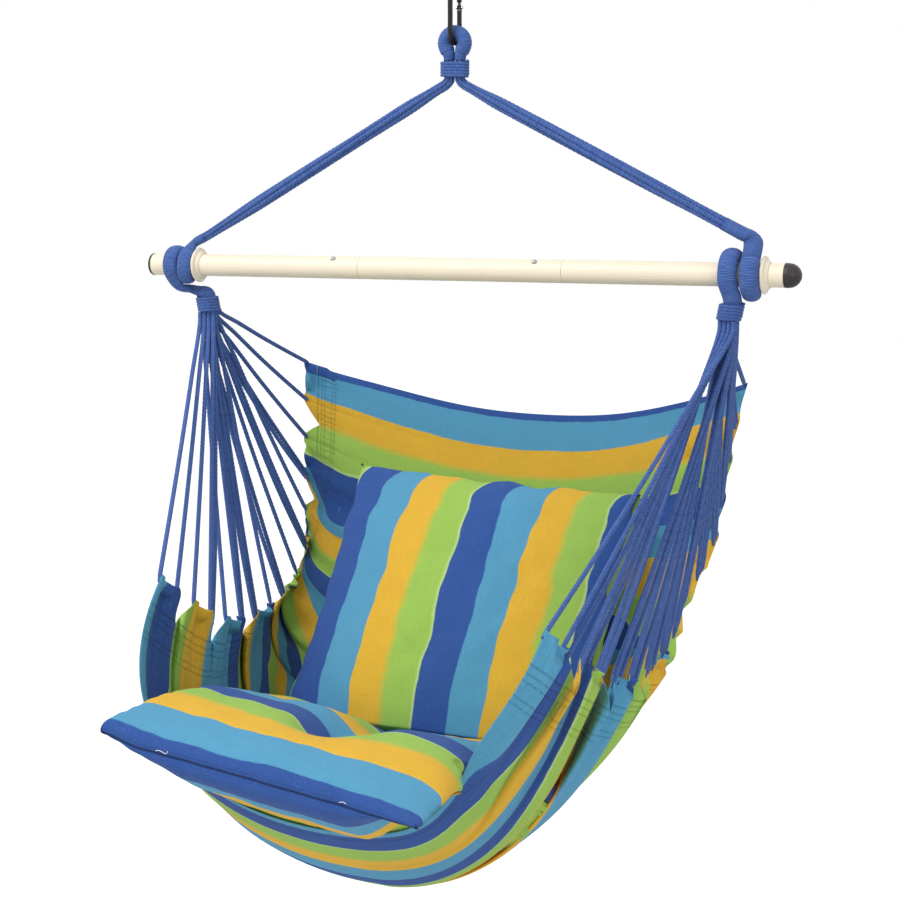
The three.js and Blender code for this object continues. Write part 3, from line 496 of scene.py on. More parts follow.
def stripe_at(u, v):
    """The number of the stripe at a point of the sling, counted from the back hem."""
    ends = [HEM_STRIPE] + list(range(1, 26)) + [STRIPES]

    def along(borders, place):
        return np.interp(place, [0.0] + borders + [1.0], ends)

    inner = 1 - np.exp(-(1 - np.abs(u)) / 0.06)
    pulled = PULL * inner * smooth(v, 0.165, 0.25) * (1 - smooth(v, 0.34, 0.45))
    turned_in = (u < -CORNER_PATCH) & (v < 0.016)
    edge = np.where(u < 0, along(LEFT_BORDERS, v - pulled), along(RIGHT_BORDERS, v))
    stripe = mix(along(MIDDLE_BORDERS, v), edge, smooth(np.abs(u), 0.45, 0.85))
    return np.where(turned_in, PATCH_STRIPE, stripe)


print("borders between stripes:", len(LEFT_BORDERS), len(RIGHT_BORDERS), len(MIDDLE_BORDERS))

# %% [markdown]
# ## Suspension cords
# Sixteen cords on each side fan out from a binding under the bar to the sling's edge. Each is a
# three-strand cord. The strands are modelled, because their diagonal grooves are what the eye
# reads as rope. Many cords have a second one beside them, and on the right a third.

# %% Make the suspension cords
CORD_LOOK = 6.8
CORD_TIP = 0.016
PAIRED = {"left": (3, 5, 7, 9, 10, 12), "right": tuple(range(1, 15))}
TRIPLED = {"left": (), "right": tuple(range(3, 14))}
cord_pieces = []


def strands(count, pitch, depth, length):
    """The radius of a twisted cord, as a share, at a share of its length and an angle."""

    def share_of(share, angle):
        turn = angle * count / 2 - np.pi * share * length / pitch
        return 1 - depth * (1 - np.abs(np.cos(turn)))

    return share_of


def cord_route(end, k, flip, twin):
    """The line of one cord from its hitch to the sling's edge, and of a twin that runs beside it."""
    row = (k % CORD_ROWS) - (CORD_ROWS - 1) / 2
    half = (CORDS - 1) / 2
    row_step = CORD_SPACING * CORD_ROWS / CORDS
    start = np.array(
        [
            tail_x(end, -end["tail_drop"]) + row * CORD_SPACING,
            (half - k) * row_step - end["ahead"],
            -end["tail_drop"] + 2.0 - TAIL_LEAN * (row * CORD_SPACING + CORD / 2),
        ]
    )
    beside = CORD_LOOK * 1.05 * twin
    tip = cloth_point(flip * (1 - CORD_TIP), (k + twin * 0.13) / ATTACHMENTS)
    tip[0] = abs(tip[0])
    points = []
    for t in (0, 0.04, 0.25, 0.5, 0.75, 1):
        spread = t**1.12 * smooth(t, 0.02, 0.1)
        point = mix(start, tip, np.array([spread, spread, t]))
        apart = beside * smooth(t, 0, 0.3) * (1 - smooth(t, 0.85, 1))
        points.append(point - np.array([0, apart, 0]))
    return Route(points)


def declare_cord(route, flip):
    """The points of a cord's route, given on the right side and mirrored by flip; nothing is done with them.
    """
    path = route.at(np.linspace(0, 1, 40)) - np.array([0, 0, BAR_DROP])
    path[:, 0] *= flip
    path[0] * MM
    path * MM


for name, end in ENDS.items():
    flip = -1 if name == "left" else 1
    runs = [(k, 0) for k in range(CORDS)] + [(k, 1 if k % 2 else -1) for k in PAIRED[name]]
    runs += [(k, -1 if k % 2 else 1) for k in TRIPLED[name]]
    for k, twin in runs:
        route = cord_route(end, k, flip, twin)
        twist = strands(3, 6.5, 0.2, route.length)

        def cord_size(share, angle, centre):
            radius = CORD_LOOK / 2 * twist(share, angle) * mix(1, 0.6, smooth(share, 0.97, 1))
            return radius, radius

        label = f"cord_{name}_{k + 1:02d}"
        full_name = ("rope_", "twin_", "third_")[twin] + label
        piece = rope(full_name, route, 12, 2.2, cord_size, along_y, mirror=flip < 0)
        cord_pieces.append(piece)
        if twin:
            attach(piece, "chair")
        else:
            dress(piece, "chair", label)
            declare_cord(route, flip)
print("suspension cords:", len(cord_pieces))

# %% [markdown]
# ## The sling
# The sling is one fine grid with its columns closer together towards the gathered edges. Its UV
# map holds the distance across the stripes and the share of the width, so the finish can draw
# stripes and hems. It hangs from every cord, and a sheet may name at most forty pieces that it
# rests on, so only the first cord of each pair is named.

# %% Make the sling
STRIPE = 0.0435
SLING_ROWS = 470
SLING_COLUMNS = 94
CLOTH_THICKNESS = 0.0012
bm, v, across = grid(SLING_ROWS, SLING_COLUMNS)
u = np.sign(across - 0.5) * (1 - (1 - np.abs(2 * across - 1)) ** 1.6)
points = cloth_point(u, v)
points[:, 2] -= BAR_DROP
shown = from_nominal_edge(u, v)
gather = SCALLOP / span * shown * (0.5 - 0.5 * np.cos(2 * np.pi * ATTACHMENTS * v))
stripe, across = stripe_at(u, v), 0.5 + np.sign(u) * (shown - gather) / 2
uv_layer = bm.loops.layers.uv.active
for f in bm.faces:
    for loop in f.loops:
        n = loop.vert.index
        loop[uv_layer].uv = (stripe[n] * STRIPE, across[n])
move_to(bm, points * MM)
sling = finished_mesh("striped_sling", bm)
thick = sling.modifiers.new("cloth thickness", "SOLIDIFY")
thick.thickness, thick.offset = CLOTH_THICKNESS, 0.0
dress(sling, "chair", "sling_cloth")

# %% [markdown]
# ## Served ropes
# The heavy ropes are served: a thin cord is wound tightly round the core, so the surface is a
# row of fine ridges. The ridges are real geometry here, because the outline of a hitch shows
# them. Each hitch takes about one turn and a quarter round the bar and ends in a tail below it.

# %% Make the hitches on the bar
SERVING = 3.0
SERVING_DEPTH = 0.45


def served(share, angle, length):
    """How far the ridges dip below the rope's full size. Half the angle lets them meet all round."""
    turn = np.pi * share * length / SERVING + angle / 2
    return SERVING_DEPTH * (1 - np.abs(np.sin(turn)))


def around_bar(radius, x_range, angles, change):
    """Points round the bar between two angles, where the rope crosses over while the angle changes."""
    turned = np.linspace(angles[0], angles[1], 27)
    x = mix(x_range[0], x_range[1], smooth(turned, *change))
    turned = np.radians(turned)
    return [list(p) for p in zip(x, -radius * np.sin(turned), radius * np.cos(turned))]


def hitch_points(end):
    """The rope's way into a hitch, round the bar and down into the tail."""
    inner, outer, breadth, thickness = end["inner"], end["outer"], end["breadth"], end["thickness"]
    radius = end["radius"]
    if end["ahead"] > 0:
        incoming = [inner - breadth * 0.45, mix(inner, outer, 0.45), mix(inner, outer, 0.93)]
        points = [[x, 0, end["entry"] + ROPE_SLOPE * (outer - x)] for x in incoming]
        points += around_bar(radius, (outer, inner), (34, 470), (150, 350))
    else:
        below = -radius - thickness - 2
        incoming = [inner - breadth, inner - breadth * 0.3]
        points = [[x, 0, end["entry"] + ROPE_SLOPE * (inner - x)] for x in incoming]
        points += around_bar(radius, (inner, outer), (22, 490), (75, 350))
        points += [[mix(outer, inner, 0.25), -thickness * 0.3, below + thickness * 0.3]]
        points += [[mix(outer, inner, 0.75), thickness * 0.9, below]]
    for share in (1.05, 0.5, 0):
        z = BINDING_HEIGHT * share - end["tail_drop"]
        points.append([tail_x(end, z), -end["ahead"], z])
    return points


for name, end in ENDS.items():
    route = Route(hitch_points(end))
    end["route"] = route

    def hitch_size(share, angle, centre):
        band, tail = smooth(share, 0, 0.1), smooth(share, 0.86, 0.93)
        ridge = served(share, angle, route.length)
        thick = mix(mix(end["start"], end["thickness"], band), TAIL_ROPE, tail) / 2 - ridge
        broad = mix(mix(end["start"], end["breadth"], band), TAIL_ROPE, tail) / 2 - ridge
        return thick, broad

    hitch = rope("served_hitch_" + name, route, 28, 0.6, hitch_size, away_from_bar, mirror=name == "left")
    dress(hitch, "chair", "hitch_" + name)
    print(name, "hitch, mm of rope:", round(route.length))

# %% [markdown]
# ## Bindings
# A thin cord wound five times closes each tail, and another one closes the neck of the top loop,
# where two ropes lie side by side. Five rings would look alike from afar, but here one route
# winds round and down, so each turn leans and leads to the next, as in a real binding.


# %% Wind the bindings
PRESSED_IN = 0.8


def winding_route(centre_x, centre_y, top, turns, reach, half_spread, lean):
    pitch = BINDING_CORD + BINDING_GAP
    t = np.linspace(0, 1, turns * 24 + 1)
    angle = t * turns * 2 * np.pi
    side = np.clip(2.4 * np.cos(angle), -1, 1)
    drop = BINDING_CORD / 2 + t * turns * pitch
    x = centre_x - lean * drop + half_spread * side + reach * np.cos(angle)
    return Route(np.stack([x, centre_y + reach * np.sin(angle), top - drop], axis=1), 1200)


def binding(name, node, route, drop, mirror):
    twist = strands(2, 5, 0.1, route.length)

    def size_at(share, angle, centre):
        radius = (BINDING_CORD + BINDING_GAP + PRESSED_IN) / 2 * twist(share, angle)
        return radius, radius

    piece = rope(name, route, 10, 1.2, size_at, upward, drop=drop, mirror=mirror)
    dress(piece, "chair", node)


neck_top = NECK_BOTTOM - BAR_DROP + BINDING_HEIGHT
neck_half = NECK_ROPE / 2 + CONTACT
neck_reach = NECK_ROPE / 2 + BINDING_GAP + BINDING_CORD / 2
neck_route = winding_route(0, 0, neck_top, TURNS, neck_reach, neck_half, 0)
binding("wound_neck", "neck_binding", neck_route, 0, False)
for name, end in ENDS.items():
    top = BINDING_HEIGHT - end["tail_drop"]
    reach = TAIL_ROPE / 2 + BINDING_GAP * 1.5 + BINDING_CORD / 2
    route = winding_route(tail_x(end, top), -end["ahead"], top, TURNS, reach, 0, TAIL_LEAN)
    binding("wound_binding_" + name, "binding_" + name, route, BAR_DROP, name == "left")
print("each binding has", TURNS, "turns; the neck's top is at", round(neck_top, 1), "mm")

# %% [markdown]
# ## Top loop
# The loop is the same served rope, doubled over the snap hook's lower bow. Its two legs are
# pressed against each other below the eye. One route makes both legs and the eye, so the ridges
# run on without a seam, and the section gets thinner where the legs would pass the middle.

# %% Make the top loop
bow_radius = (HOOK_WIDTH - HOOK_ROD) / 2
lower_bow = -(bow_radius - HOOK_ROD / 2) - (HOOK_HEIGHT - HOOK_WIDTH)
loop_top = lower_bow - bow_radius
loop_radius = HOOK_ROD / 2 + CONTACT + LOOP_ROPE / 2


def leg(side, share):
    return [side * mix(neck_half, loop_radius, smooth(share, 0.2, 1)), 0, mix(neck_top, loop_top, share)]


loop_points = [leg(-1, share) for share in (0, 0.15, 0.4, 0.65, 0.85)]
for turn in np.linspace(math.pi, 0, 11):
    loop_points.append([loop_radius * math.cos(turn), 0, loop_top + loop_radius * math.sin(turn)])
loop_points += [leg(1, share) for share in (0.85, 0.65, 0.4, 0.15, 0)]
loop_route = Route(loop_points)


def loop_size(share, angle, centre):
    flattened = np.minimum(LOOP_ROPE / 2, np.abs(centre[:, 0]) - CONTACT)
    pressed = np.where(centre[:, 2] > loop_top, LOOP_ROPE / 2, flattened)
    radius = pressed - served(share, angle, loop_route.length)
    return radius, radius


loop = rope("served_top_loop", loop_route, 28, 0.6, loop_size, along_y, drop=0)
dress(loop, "chair", "top_loop")
print("rope in the top loop, mm:", round(loop_route.length))

# %% [markdown]
# ## Upper ropes
# Between the neck and each hitch the serving stops, and the rope is a bundle of six cords that
# lie side by side with a slow twist. One thick rope with deep grooves would do from afar. Here
# each cord has a route of its own round the bundle's route, and the six are joined afterwards,
# because the CAD has one node for the whole rope.

# %% Lay six cords side by side
BUNDLE = 6
BUNDLE_TWIST = 1.3
LANE_SHARE = 0.36


def joined(name, pieces):
    """One object of several pieces' meshes."""
    bm = bmesh.new()
    for piece in pieces:
        bm.from_mesh(piece.data)
        old = piece.data
        bpy.data.objects.remove(piece)
        bpy.data.meshes.remove(old)
    return finished_mesh(name, bm)


for name, end in ENDS.items():
    entry = end["route"].heading(0)
    start = end["route"].at(0) - entry * CONTACT
    crotch = np.array([neck_half + NECK_ROPE * 1.1, 0, NECK_BOTTOM - NECK_ROPE])
    route = Route(
        [
            start,
            start - entry * UPPER_ROPE * 0.4,
            mix(start, crotch, 0.3),
            mix(start, crotch, 0.65),
            crotch,
            [neck_half + NECK_ROPE * 0.34, 0, NECK_BOTTOM - NECK_ROPE * 0.58],
            [neck_half, 0, NECK_BOTTOM - NECK_ROPE * 0.2],
            [neck_half, 0, NECK_BOTTOM + NECK_ROPE * 0.6],
            [neck_half, 0, neck_top + BAR_DROP - CONTACT],
        ]
    )
    walk = np.linspace(0, 1, 90)
    slim = mix(end["start"], UPPER_ROPE, smooth(walk, 0, 0.25))
    whole = mix(slim, NECK_ROPE * 0.94, smooth(walk, 0.78, 0.9)) / 2
    cord_radius = whole * LANE_SHARE
    centre, normal, across = rope_frame(route, walk, along_y)
    pieces = []
    for k in range(BUNDLE):
        turn = 2 * np.pi * k / BUNDLE + BUNDLE_TWIST * walk
        ring = (whole - cord_radius)[:, None]
        lane = centre + normal * np.cos(turn)[:, None] * ring + across * np.sin(turn)[:, None] * ring
        lane_route = Route(lane, 400)
        twist = strands(3, 7, 0.16, lane_route.length)

        def lane_size(share, angle, centre):
            radius = np.interp(share, walk, cord_radius) * twist(share, angle)
            return radius, radius

        pieces.append(rope("lane", lane_route, 10, 2.2, lane_size, along_y, mirror=name == "left"))
    upper = joined("cords_upper_rope_" + name, pieces)
    dress(upper, "chair", "upper_rope_" + name)
    declare_cord(route, -1 if name == "left" else 1)
    print(name, "upper rope, mm:", round(route.length))

# %% [markdown]
# ## Where the cushions may be
# The cushions lie in the sling and lean on each other. So a point of a cushion that would pass
# the cloth is pushed back to its near side, and a plane keeps the two cushions apart. The cloth
# is taken a little further than its front hem, because the seat cushion hangs over it.

# %% Points of the sling that the cushions lie on
CLEARANCE = 3.2
BEYOND_HEM = (8, 16, 24, 32, 40)
rows_u, rows_v = np.linspace(-1, 1, 121), np.linspace(0, 1, 151)
grid_u, grid_v = np.meshgrid(rows_u, rows_v, indexing="ij")
cloth_points = cloth_point(grid_u, grid_v)
cloth_normals = normal_of(cloth_point, grid_u, grid_v, 0.006)
rim = (np.abs(grid_u) == 1) | (grid_v == 0)
onward = cloth_points[:, -1] - cloth_point(rows_u, 1 - 1 / 90)
onward /= np.linalg.norm(onward, axis=-1, keepdims=True)
beyond = [(cloth_points[:, -1] + onward * reach)[:, None] for reach in BEYOND_HEM]
beyond_rim = [((np.abs(rows_u) == 1) | (reach == BEYOND_HEM[-1]))[:, None] for reach in BEYOND_HEM]
last_normals = [cloth_normals[:, -1:]] * len(BEYOND_HEM)
cloth_points = np.concatenate([cloth_points] + beyond, axis=1).reshape(-1, 3)
cloth_normals = np.concatenate([cloth_normals] + last_normals, axis=1).reshape(-1, 3)
rim = np.concatenate([rim] + beyond_rim, axis=1).reshape(-1)
tree = kdtree.KDTree(len(cloth_points))
for number, point in enumerate(cloth_points):
    tree.insert(point, number)
tree.balance()
print("points of the cloth to lie on:", len(cloth_points))


def press_into_sling(points):
    """The points, moved along the cloth's normal to where they clear the cloth."""
    nearest = np.array([tree.find(point)[1] for point in points])
    depth = np.sum((points - cloth_points[nearest]) * cloth_normals[nearest], axis=1)
    push = np.where(rim[nearest], 0, np.maximum(CLEARANCE - depth, 0))
    return points + cloth_normals[nearest] * push[:, None]


MEET_ANGLE = math.radians(52)
MEET_POINT = np.array([0, -105, -640.0])
MEET_NORMAL = np.array([0, math.cos(MEET_ANGLE), math.sin(MEET_ANGLE)])
MEET_GAP = 0.2


def keep_side(points, sign):
    """The points, moved to their own side of the plane between the cushions."""
    depth = (points - MEET_POINT) @ MEET_NORMAL * sign
    return points + MEET_NORMAL * (sign * np.maximum(MEET_GAP - depth, 0))[:, None]


# %% [markdown]
# ## Stuffing a cushion
# A stuffed square has drawn-in sides, soft corners and a crown on each face. Two flat grids are
# blown up and welded along the seam, where the cloth is drawn in and puckers a little. Noise at
# two sizes makes the fibre lumpy. A cloth solver with pressure could blow them up too, but a
# formula keeps the tuft and the stripes where the photograph has them.

# %% Stuff a square
CELLS = 96
DRAWN_IN = 0.045
WANDER = 4.0
UNDER_ROUND = 0.36
SEAM_PULL = 4.0
PUCKER_PITCH = 26
PUCKER_FADE = 20


def uneven(x, y, size, layer):
    """Smooth unevenness between about -1 and 1, with lumps of a size in millimetres."""
    spots = np.stack(np.broadcast_arrays(x / size, y / size, layer), axis=-1).reshape(-1, 3)
    return np.array([noise.noise(spot) for spot in spots]).reshape(np.shape(x)) * 1.6


def puckers(x, y, width, depth, layer):
    """Small gathers that run in from the seam and fade out within a few centimetres."""
    beside = np.minimum(width / 2 - np.abs(x), depth / 2 - np.abs(y))
    along = np.where(width / 2 - np.abs(x) < depth / 2 - np.abs(y), y, x)
    wave = np.sin(2 * np.pi * along / PUCKER_PITCH + 4 * uneven(along, along * 0, 60, layer))
    return 1.5 * wave * np.exp(-np.maximum(beside, 0) / PUCKER_FADE)


def two_sheets():
    """A front and a rear grid with the same outline, and each vertex's place from -1 to 1."""
    bm = bmesh.new()
    bm.loops.layers.uv.new("UVMap")
    for place in (Matrix.Identity(4), Matrix.Translation((0, 0, -1))):
        bmesh.ops.create_grid(bm, x_segments=CELLS, y_segments=CELLS, size=1, matrix=place, calc_uvs=True)
    rear = [f for f in bm.faces if f.calc_center_median().z < -0.5]
    bmesh.ops.reverse_faces(bm, faces=rear)
    return bm, np.array([v.co for v in bm.verts])


def stuffed(form, a, b, face):
    """A free cushion's points in its own frame, their places on its plan, and how far the seam is."""
    width, depth = form["width"], form["depth"]
    side_wander = uneven(depth / 2 * b, a * 0, 45, np.sign(a) + 3.0) * WANDER * np.abs(a) ** 8
    end_wander = uneven(width / 2 * a, b * 0, 45, np.sign(b) + 8.0) * WANDER * np.abs(b) ** 8
    x = width / 2 * a * (1 - DRAWN_IN * (1 - b * b)) - np.sign(a) * side_wander * (1 - np.abs(b) ** 8)
    y = depth / 2 * b * (1 - DRAWN_IN * (1 - a * a)) - np.sign(b) * end_wander * (1 - np.abs(a) ** 8)
    rise = np.clip(1 - a * a, 0, 1) ** np.where(face > 0, form["side_round"](a, b), UNDER_ROUND)
    rise = rise * np.clip(1 - b * b, 0, 1) ** np.where(face > 0, form["end_round"], UNDER_ROUND)
    lumps = 3.5 * uneven(x, y, 85, face * 5) + 1.6 * uneven(x, y, 34, face * 9)
    puff = (form["crown"](x, y, a, b, face) + lumps) * rise
    puff = puff + puckers(x, y, width, depth, face * 2.5) * np.minimum(rise * 2, 1)
    to_side, to_end = width / 2 * (1 - np.abs(a)), depth / 2 * (1 - np.abs(b))
    drawn = SEAM_PULL * np.exp(-np.abs(puff) / 4)
    x = x - np.where(to_side < to_end, np.sign(a) * drawn, 0)
    y = y - np.where(to_side < to_end, 0, np.sign(b) * drawn)
    free, plan = np.stack([x, y, face * puff], axis=1), np.stack([x, y], axis=1)
    ear = form["ear"] * smooth(-a, 0.75, 1) * smooth(-b, 0.7, 1)
    free = free + ear[:, None] * np.array([-1.0, 0.2, 1.1])
    free[:, 2] += form["climb"] * smooth(a, 0.45, 1) * smooth(b, -1, -0.5) * (1 - smooth(b, 0.2, 0.8))
    return free, plan, np.minimum(to_side, to_end) + np.abs(puff)


print("two sheets of", CELLS, "by", CELLS, "cells for each cushion")

# %% [markdown]
# ## Stripes on a cushion
# The stripes keep their width on the curved sheets, so they are laid out along the surface: each
# line across the stripes is walked, and its steps are added up. A lead shifts the stripes at
# the seam, so that both faces begin as they do in the photograph.

# %% Lay the stripes and sew a cushion up


def lay_stripes(bm, form, flat, free, plan, face):
    axis = form["stripe_axis"]
    column = np.rint((flat[:, axis] + 1) / 2 * CELLS).astype(int)
    line = np.rint((flat[:, 1 - axis] + 1) / 2 * CELLS).astype(int)
    sheet = (face < 0).astype(int)
    laid = np.zeros((2, CELLS + 1, CELLS + 1, 3))
    laid[sheet, line, column] = free
    steps = np.linalg.norm(np.diff(laid, axis=2), axis=-1)
    run = np.concatenate([np.zeros((2, CELLS + 1, 1)), np.cumsum(steps, axis=2)], axis=2)
    middle = run[0, CELLS // 2, -1]
    run = run / run[:, :, -1:] * middle
    along = run[sheet, line, column] * MM + form["lead"](flat[:, 1 - axis], face)
    along = along * np.where((face < 0) & (axis == 0), -1.0, 1.0)
    sideways = plan[:, 1 - axis] * MM
    uv_layer = bm.loops.layers.uv.active
    for f in bm.faces:
        for loop in f.loops:
            n = loop.vert.index
            loop[uv_layer].uv = (along[n], sideways[n])
    print("stripes run over", round(middle), "mm of one sheet")


def cushion(name, node, form):
    bm, flat = two_sheets()
    a, b = np.sin(flat[:, 0] * np.pi / 2), np.sin(flat[:, 1] * np.pi / 2)
    face = np.where(flat[:, 2] > -0.5, 1.0, -1.0)
    free, plan, from_seam = stuffed(form, a, b, face)
    seam_layer = bm.verts.layers.float.new("seam")
    for vertex, distance in zip(bm.verts, from_seam):
        vertex[seam_layer] = distance * MM
    lay_stripes(bm, form, flat, free, plan, face)
    points = press_into_sling(keep_side(form["place"](free), form["sign"]))
    points[:, 2] -= BAR_DROP
    move_to(bm, points * MM)
    bmesh.ops.remove_doubles(bm, verts=bm.verts, dist=1e-5)
    piece = finished_mesh(name, bm)
    dress(piece, node, node)
    return piece


# %% [markdown]
# ## The two cushions
# The seat cushion is tufted near its middle, with a valley from the tuft to the rear, and its
# underside is flat at the front. The back cushion is a plain pillow whose stripes run up it.
# Each is described by its sizes, its crown and its place, so one function makes both.

# %% Make the cushions
def placer(turns, origin, shift, spin=0.0):
    """A function that moves a cushion's own points to their place in the sling."""
    matrix = np.array(Euler([math.radians(t) for t in turns], "XYZ").to_matrix())
    spun = np.array(Matrix.Rotation(math.radians(spin), 3, "Z"))

    def place(points):
        return (points + np.array([0, shift, 0])) @ spun.T @ matrix.T + np.array(origin)

    return place


SEAT_WIDTH, SEAT_DEPTH = 450.0, 460.0
BACK_WIDTH, BACK_HEIGHT = 445.0, 450.0
seat_place = placer((-12, 6, -5), (-35, -545, -588), SEAT_DEPTH / 2)
back_place = placer((90 - 38, 0, 5), (0, 168, -318), -BACK_HEIGHT / 2, spin=-4)


def seat_crown(x, y, a, b, face):
    """The seat's height: a tuft in the middle, a valley behind it, and humps round them."""
    tuft = 28 * np.exp(-((np.hypot(x - 12, y + 38) / 62) ** 2))
    valley = 24 * hump(x, 12, 42) * smooth(y, -170, -60)
    left_hump = 14 * hump(x, -215, 50) * smooth(y, -230, -150) * (1 - smooth(y, -60, 60))
    right_hump = 20 * hump(x, 130, 75) * hump(y, -70, 80)
    rear_dip = 18 * hump(x, -30, 120) * smooth(y, 0, 120)
    rear_right = 12 * hump(x, 175, 80) * smooth(y, 40, 150)
    top = 76 - tuft - valley + left_hump + right_hump - rear_dip + rear_right
    front_share = 0.46 * (1 - 0.6 * smooth(np.abs(a), 0.5, 1))
    under = 105 * mix(front_share, 1, smooth(b, -1, 0.4))
    under = under * (1 - 0.8 * smooth(a, 0.45, 0.9) * (1 - smooth(b, 0, 0.6)))
    return np.where(face > 0, top, under)


def seat_round(a, b):
    """How sharply the top falls to its side seams: blunt on the left, thin at the right front."""
    return mix(mix(0.3, 0.12, smooth(-a, 0, 1)), 0.6, smooth(a, 0, 1) * (1 - smooth(b, -0.3, 0.4)))


def back_crown(x, y, a, b, face):
    return np.where(face > 0, 55, 115)


def seat_lead(across, face):
    return np.where(face > 0, 0.0295, 0.014 - 0.010 * smooth(across, -0.3, 0.6))


def back_lead(across, face):
    """The green strip of the rear sheet shows beside the left seam, most of all at the top."""
    return -0.005 - 0.022 * smooth(across, 0.55, 1) * (face > 0)


SEAT = dict(
    width=SEAT_WIDTH, depth=SEAT_DEPTH, crown=seat_crown, side_round=seat_round, end_round=0.42,
    place=seat_place, sign=-1, stripe_axis=1, lead=seat_lead, ear=7, climb=32,
)
BACK = dict(
    width=BACK_WIDTH, depth=BACK_HEIGHT, crown=back_crown, side_round=lambda a, b: 0.6, end_round=0.45,
    place=back_place, sign=1, stripe_axis=0, lead=back_lead, ear=0, climb=0,
)
seat = cushion("seat_cushion_cover", "seat_cushion", SEAT)
back = cushion("back_cushion_cover", "back_cushion", BACK)

# %% [markdown]
# ## Loose threads
# Two ends of white sewing thread lie on the seat's front seam. Each is a very thin rope that
# starts at a vertex of the cushion beside its front seam, so it still lies on the cloth when the
# cushion's shape changes.

# %% Leave two thread ends on the front seam
THREAD_RADIUS = 0.55
THREAD_BENDS = [[0, -0.6, -0.4], [5, -1.4, 0.8], [10, -1.6, -0.6], [15, -1.0, -2.6], [18, -1.8, 1.2]]


def thread_size(share, angle, centre):
    return THREAD_RADIUS, THREAD_RADIUS


def thread_end(name, along_seam):
    wanted = seat_place(np.array([[along_seam, -SEAT_DEPTH / 2, 0.0]]))[0] - np.array([0, 0, BAR_DROP])
    corners = np.array([v.co for v in seat.data.vertices]) / MM
    start = corners[np.argmin(np.linalg.norm(corners - wanted, axis=1))]
    piece = rope(name, Route(start + THREAD_BENDS), 6, 1.5, thread_size, along_y, drop=0)
    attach(piece, "seat_cushion")
    return piece


threads = [thread_end("loose_thread_left", -150.0), thread_end("loose_thread_right", 112.0)]
print("thread ends:", len(threads))

# %% [markdown]
# ## Writing nodes as expressions
# A finish is a material whose nodes are written as Python expressions. A small class wraps a
# socket, so that `1 - mask * 0.3` adds the Math nodes for it. Colours go through Mix nodes.

# %% A socket with Python's operators
class Value:
    """The value of a socket. Python's operators on it add Math nodes."""

    def __init__(self, graph, socket):
        self.graph, self.socket = graph, socket

    def math(self, operation, first, second=0.0):
        return self.graph.node("ShaderNodeMath", {"operation": operation}, {0: first, 1: second})

    def __add__(self, other):
        return self.math("ADD", self, other)

    def __sub__(self, other):
        return self.math("SUBTRACT", self, other)

    def __rsub__(self, other):
        return self.math("SUBTRACT", other, self)

    def __mul__(self, other):
        return self.math("MULTIPLY", self, other)

    def __truediv__(self, other):
        return self.math("DIVIDE", self, other)

    def __mod__(self, other):
        return self.math("FLOORED_MODULO", self, other)

    def __gt__(self, other):
        return self.math("GREATER_THAN", self, other)

    def __abs__(self):
        return self.math("ABSOLUTE", self)

    def wave(self):
        return self.math("SINE", self)

    def least(self, other):
        return self.math("MINIMUM", self, other)

    def most(self, other):
        return self.math("MAXIMUM", self, other)

    __radd__ = __add__
    __rmul__ = __mul__


print("operators on sockets: + - * / % > abs, and wave, least, most")

# %% [markdown]
# ## A graph and a finish
# Every node is made by one method of the graph: its kind first, then its settings, then what its
# sockets hold. A finish is the graph of a material, with the shader that the values end in.

# %% A graph of nodes, and a finish


def linear(red, green, blue):
    """The linear colour of a screen colour given from 0 to 255."""
    shares = [channel / 255 for channel in (red, green, blue)]
    return tuple(c / 12.92 if c <= 0.04045 else ((c + 0.055) / 1.055) ** 2.4 for c in shares) + (1.0,)


class Graph:
    def __init__(self, tree):
        self.tree = tree

    def node(self, kind, settings=None, inputs=None, output=0):
        node = self.tree.nodes.new(kind)
        for setting, value in (settings or {}).items():
            if setting == "stops":
                elements = node.color_ramp.elements
                while len(elements) < len(value):
                    elements.new(1.0)
                for element, (place, colour) in zip(elements, value):
                    element.position, element.color = place, colour
            else:
                setattr(node, setting, value)
        for socket, value in (inputs or {}).items():
            self.put(node, socket, value)
        return Value(self, node.outputs[output])

    def put(self, node, socket, value):
        if isinstance(value, Value):
            self.tree.links.new(value.socket, node.inputs[socket])
        else:
            node.inputs[socket].default_value = value

    def coordinates(self, output):
        return self.node("ShaderNodeTexCoord", output=output)

    def parts(self, vector):
        pieces = self.node("ShaderNodeSeparateXYZ", inputs={0: vector}).socket.node
        return [Value(self, pieces.outputs[i]) for i in range(3)]

    def vector(self, x, y, z=0.0):
        return self.node("ShaderNodeCombineXYZ", inputs={0: x, 1: y, 2: z})

    def grain(self, vector, scale, detail=2.0):
        return self.node("ShaderNodeTexNoise", inputs={"Vector": vector, "Scale": scale, "Detail": detail})

    def blend(self, share, first, second, kind="MIX"):
        settings = {"data_type": "RGBA", "blend_type": kind}
        return self.node("ShaderNodeMix", settings, {0: share, 6: first, 7: second}, output=2)

    def grey(self, value):
        return self.node("ShaderNodeCombineColor", inputs={0: value, 1: value, 2: value})

    def shaded(self, colour, value):
        return self.blend(1.0, colour, self.grey(value), "MULTIPLY")


class Finish(Graph):
    def __init__(self, name, **fixed):
        self.material = bpy.data.materials.new(name)
        self.material.use_nodes = True
        super().__init__(self.material.node_tree)
        self.shader = self.tree.nodes["Principled BSDF"]
        for socket, value in fixed.items():
            self.put(self.shader, socket.replace("_", " "), value)

    def bump(self, height, distance):
        normal = self.node("ShaderNodeBump", inputs={"Height": height, "Distance": distance, "Strength": 1.0})
        self.put(self.shader, "Normal", normal)

    def on(self, *pieces):
        for piece in pieces:
            piece.data.materials.clear()
            piece.data.materials.append(self.material)


print("the screen's middle grey is", round(linear(128, 128, 128)[0], 3), "in linear light")

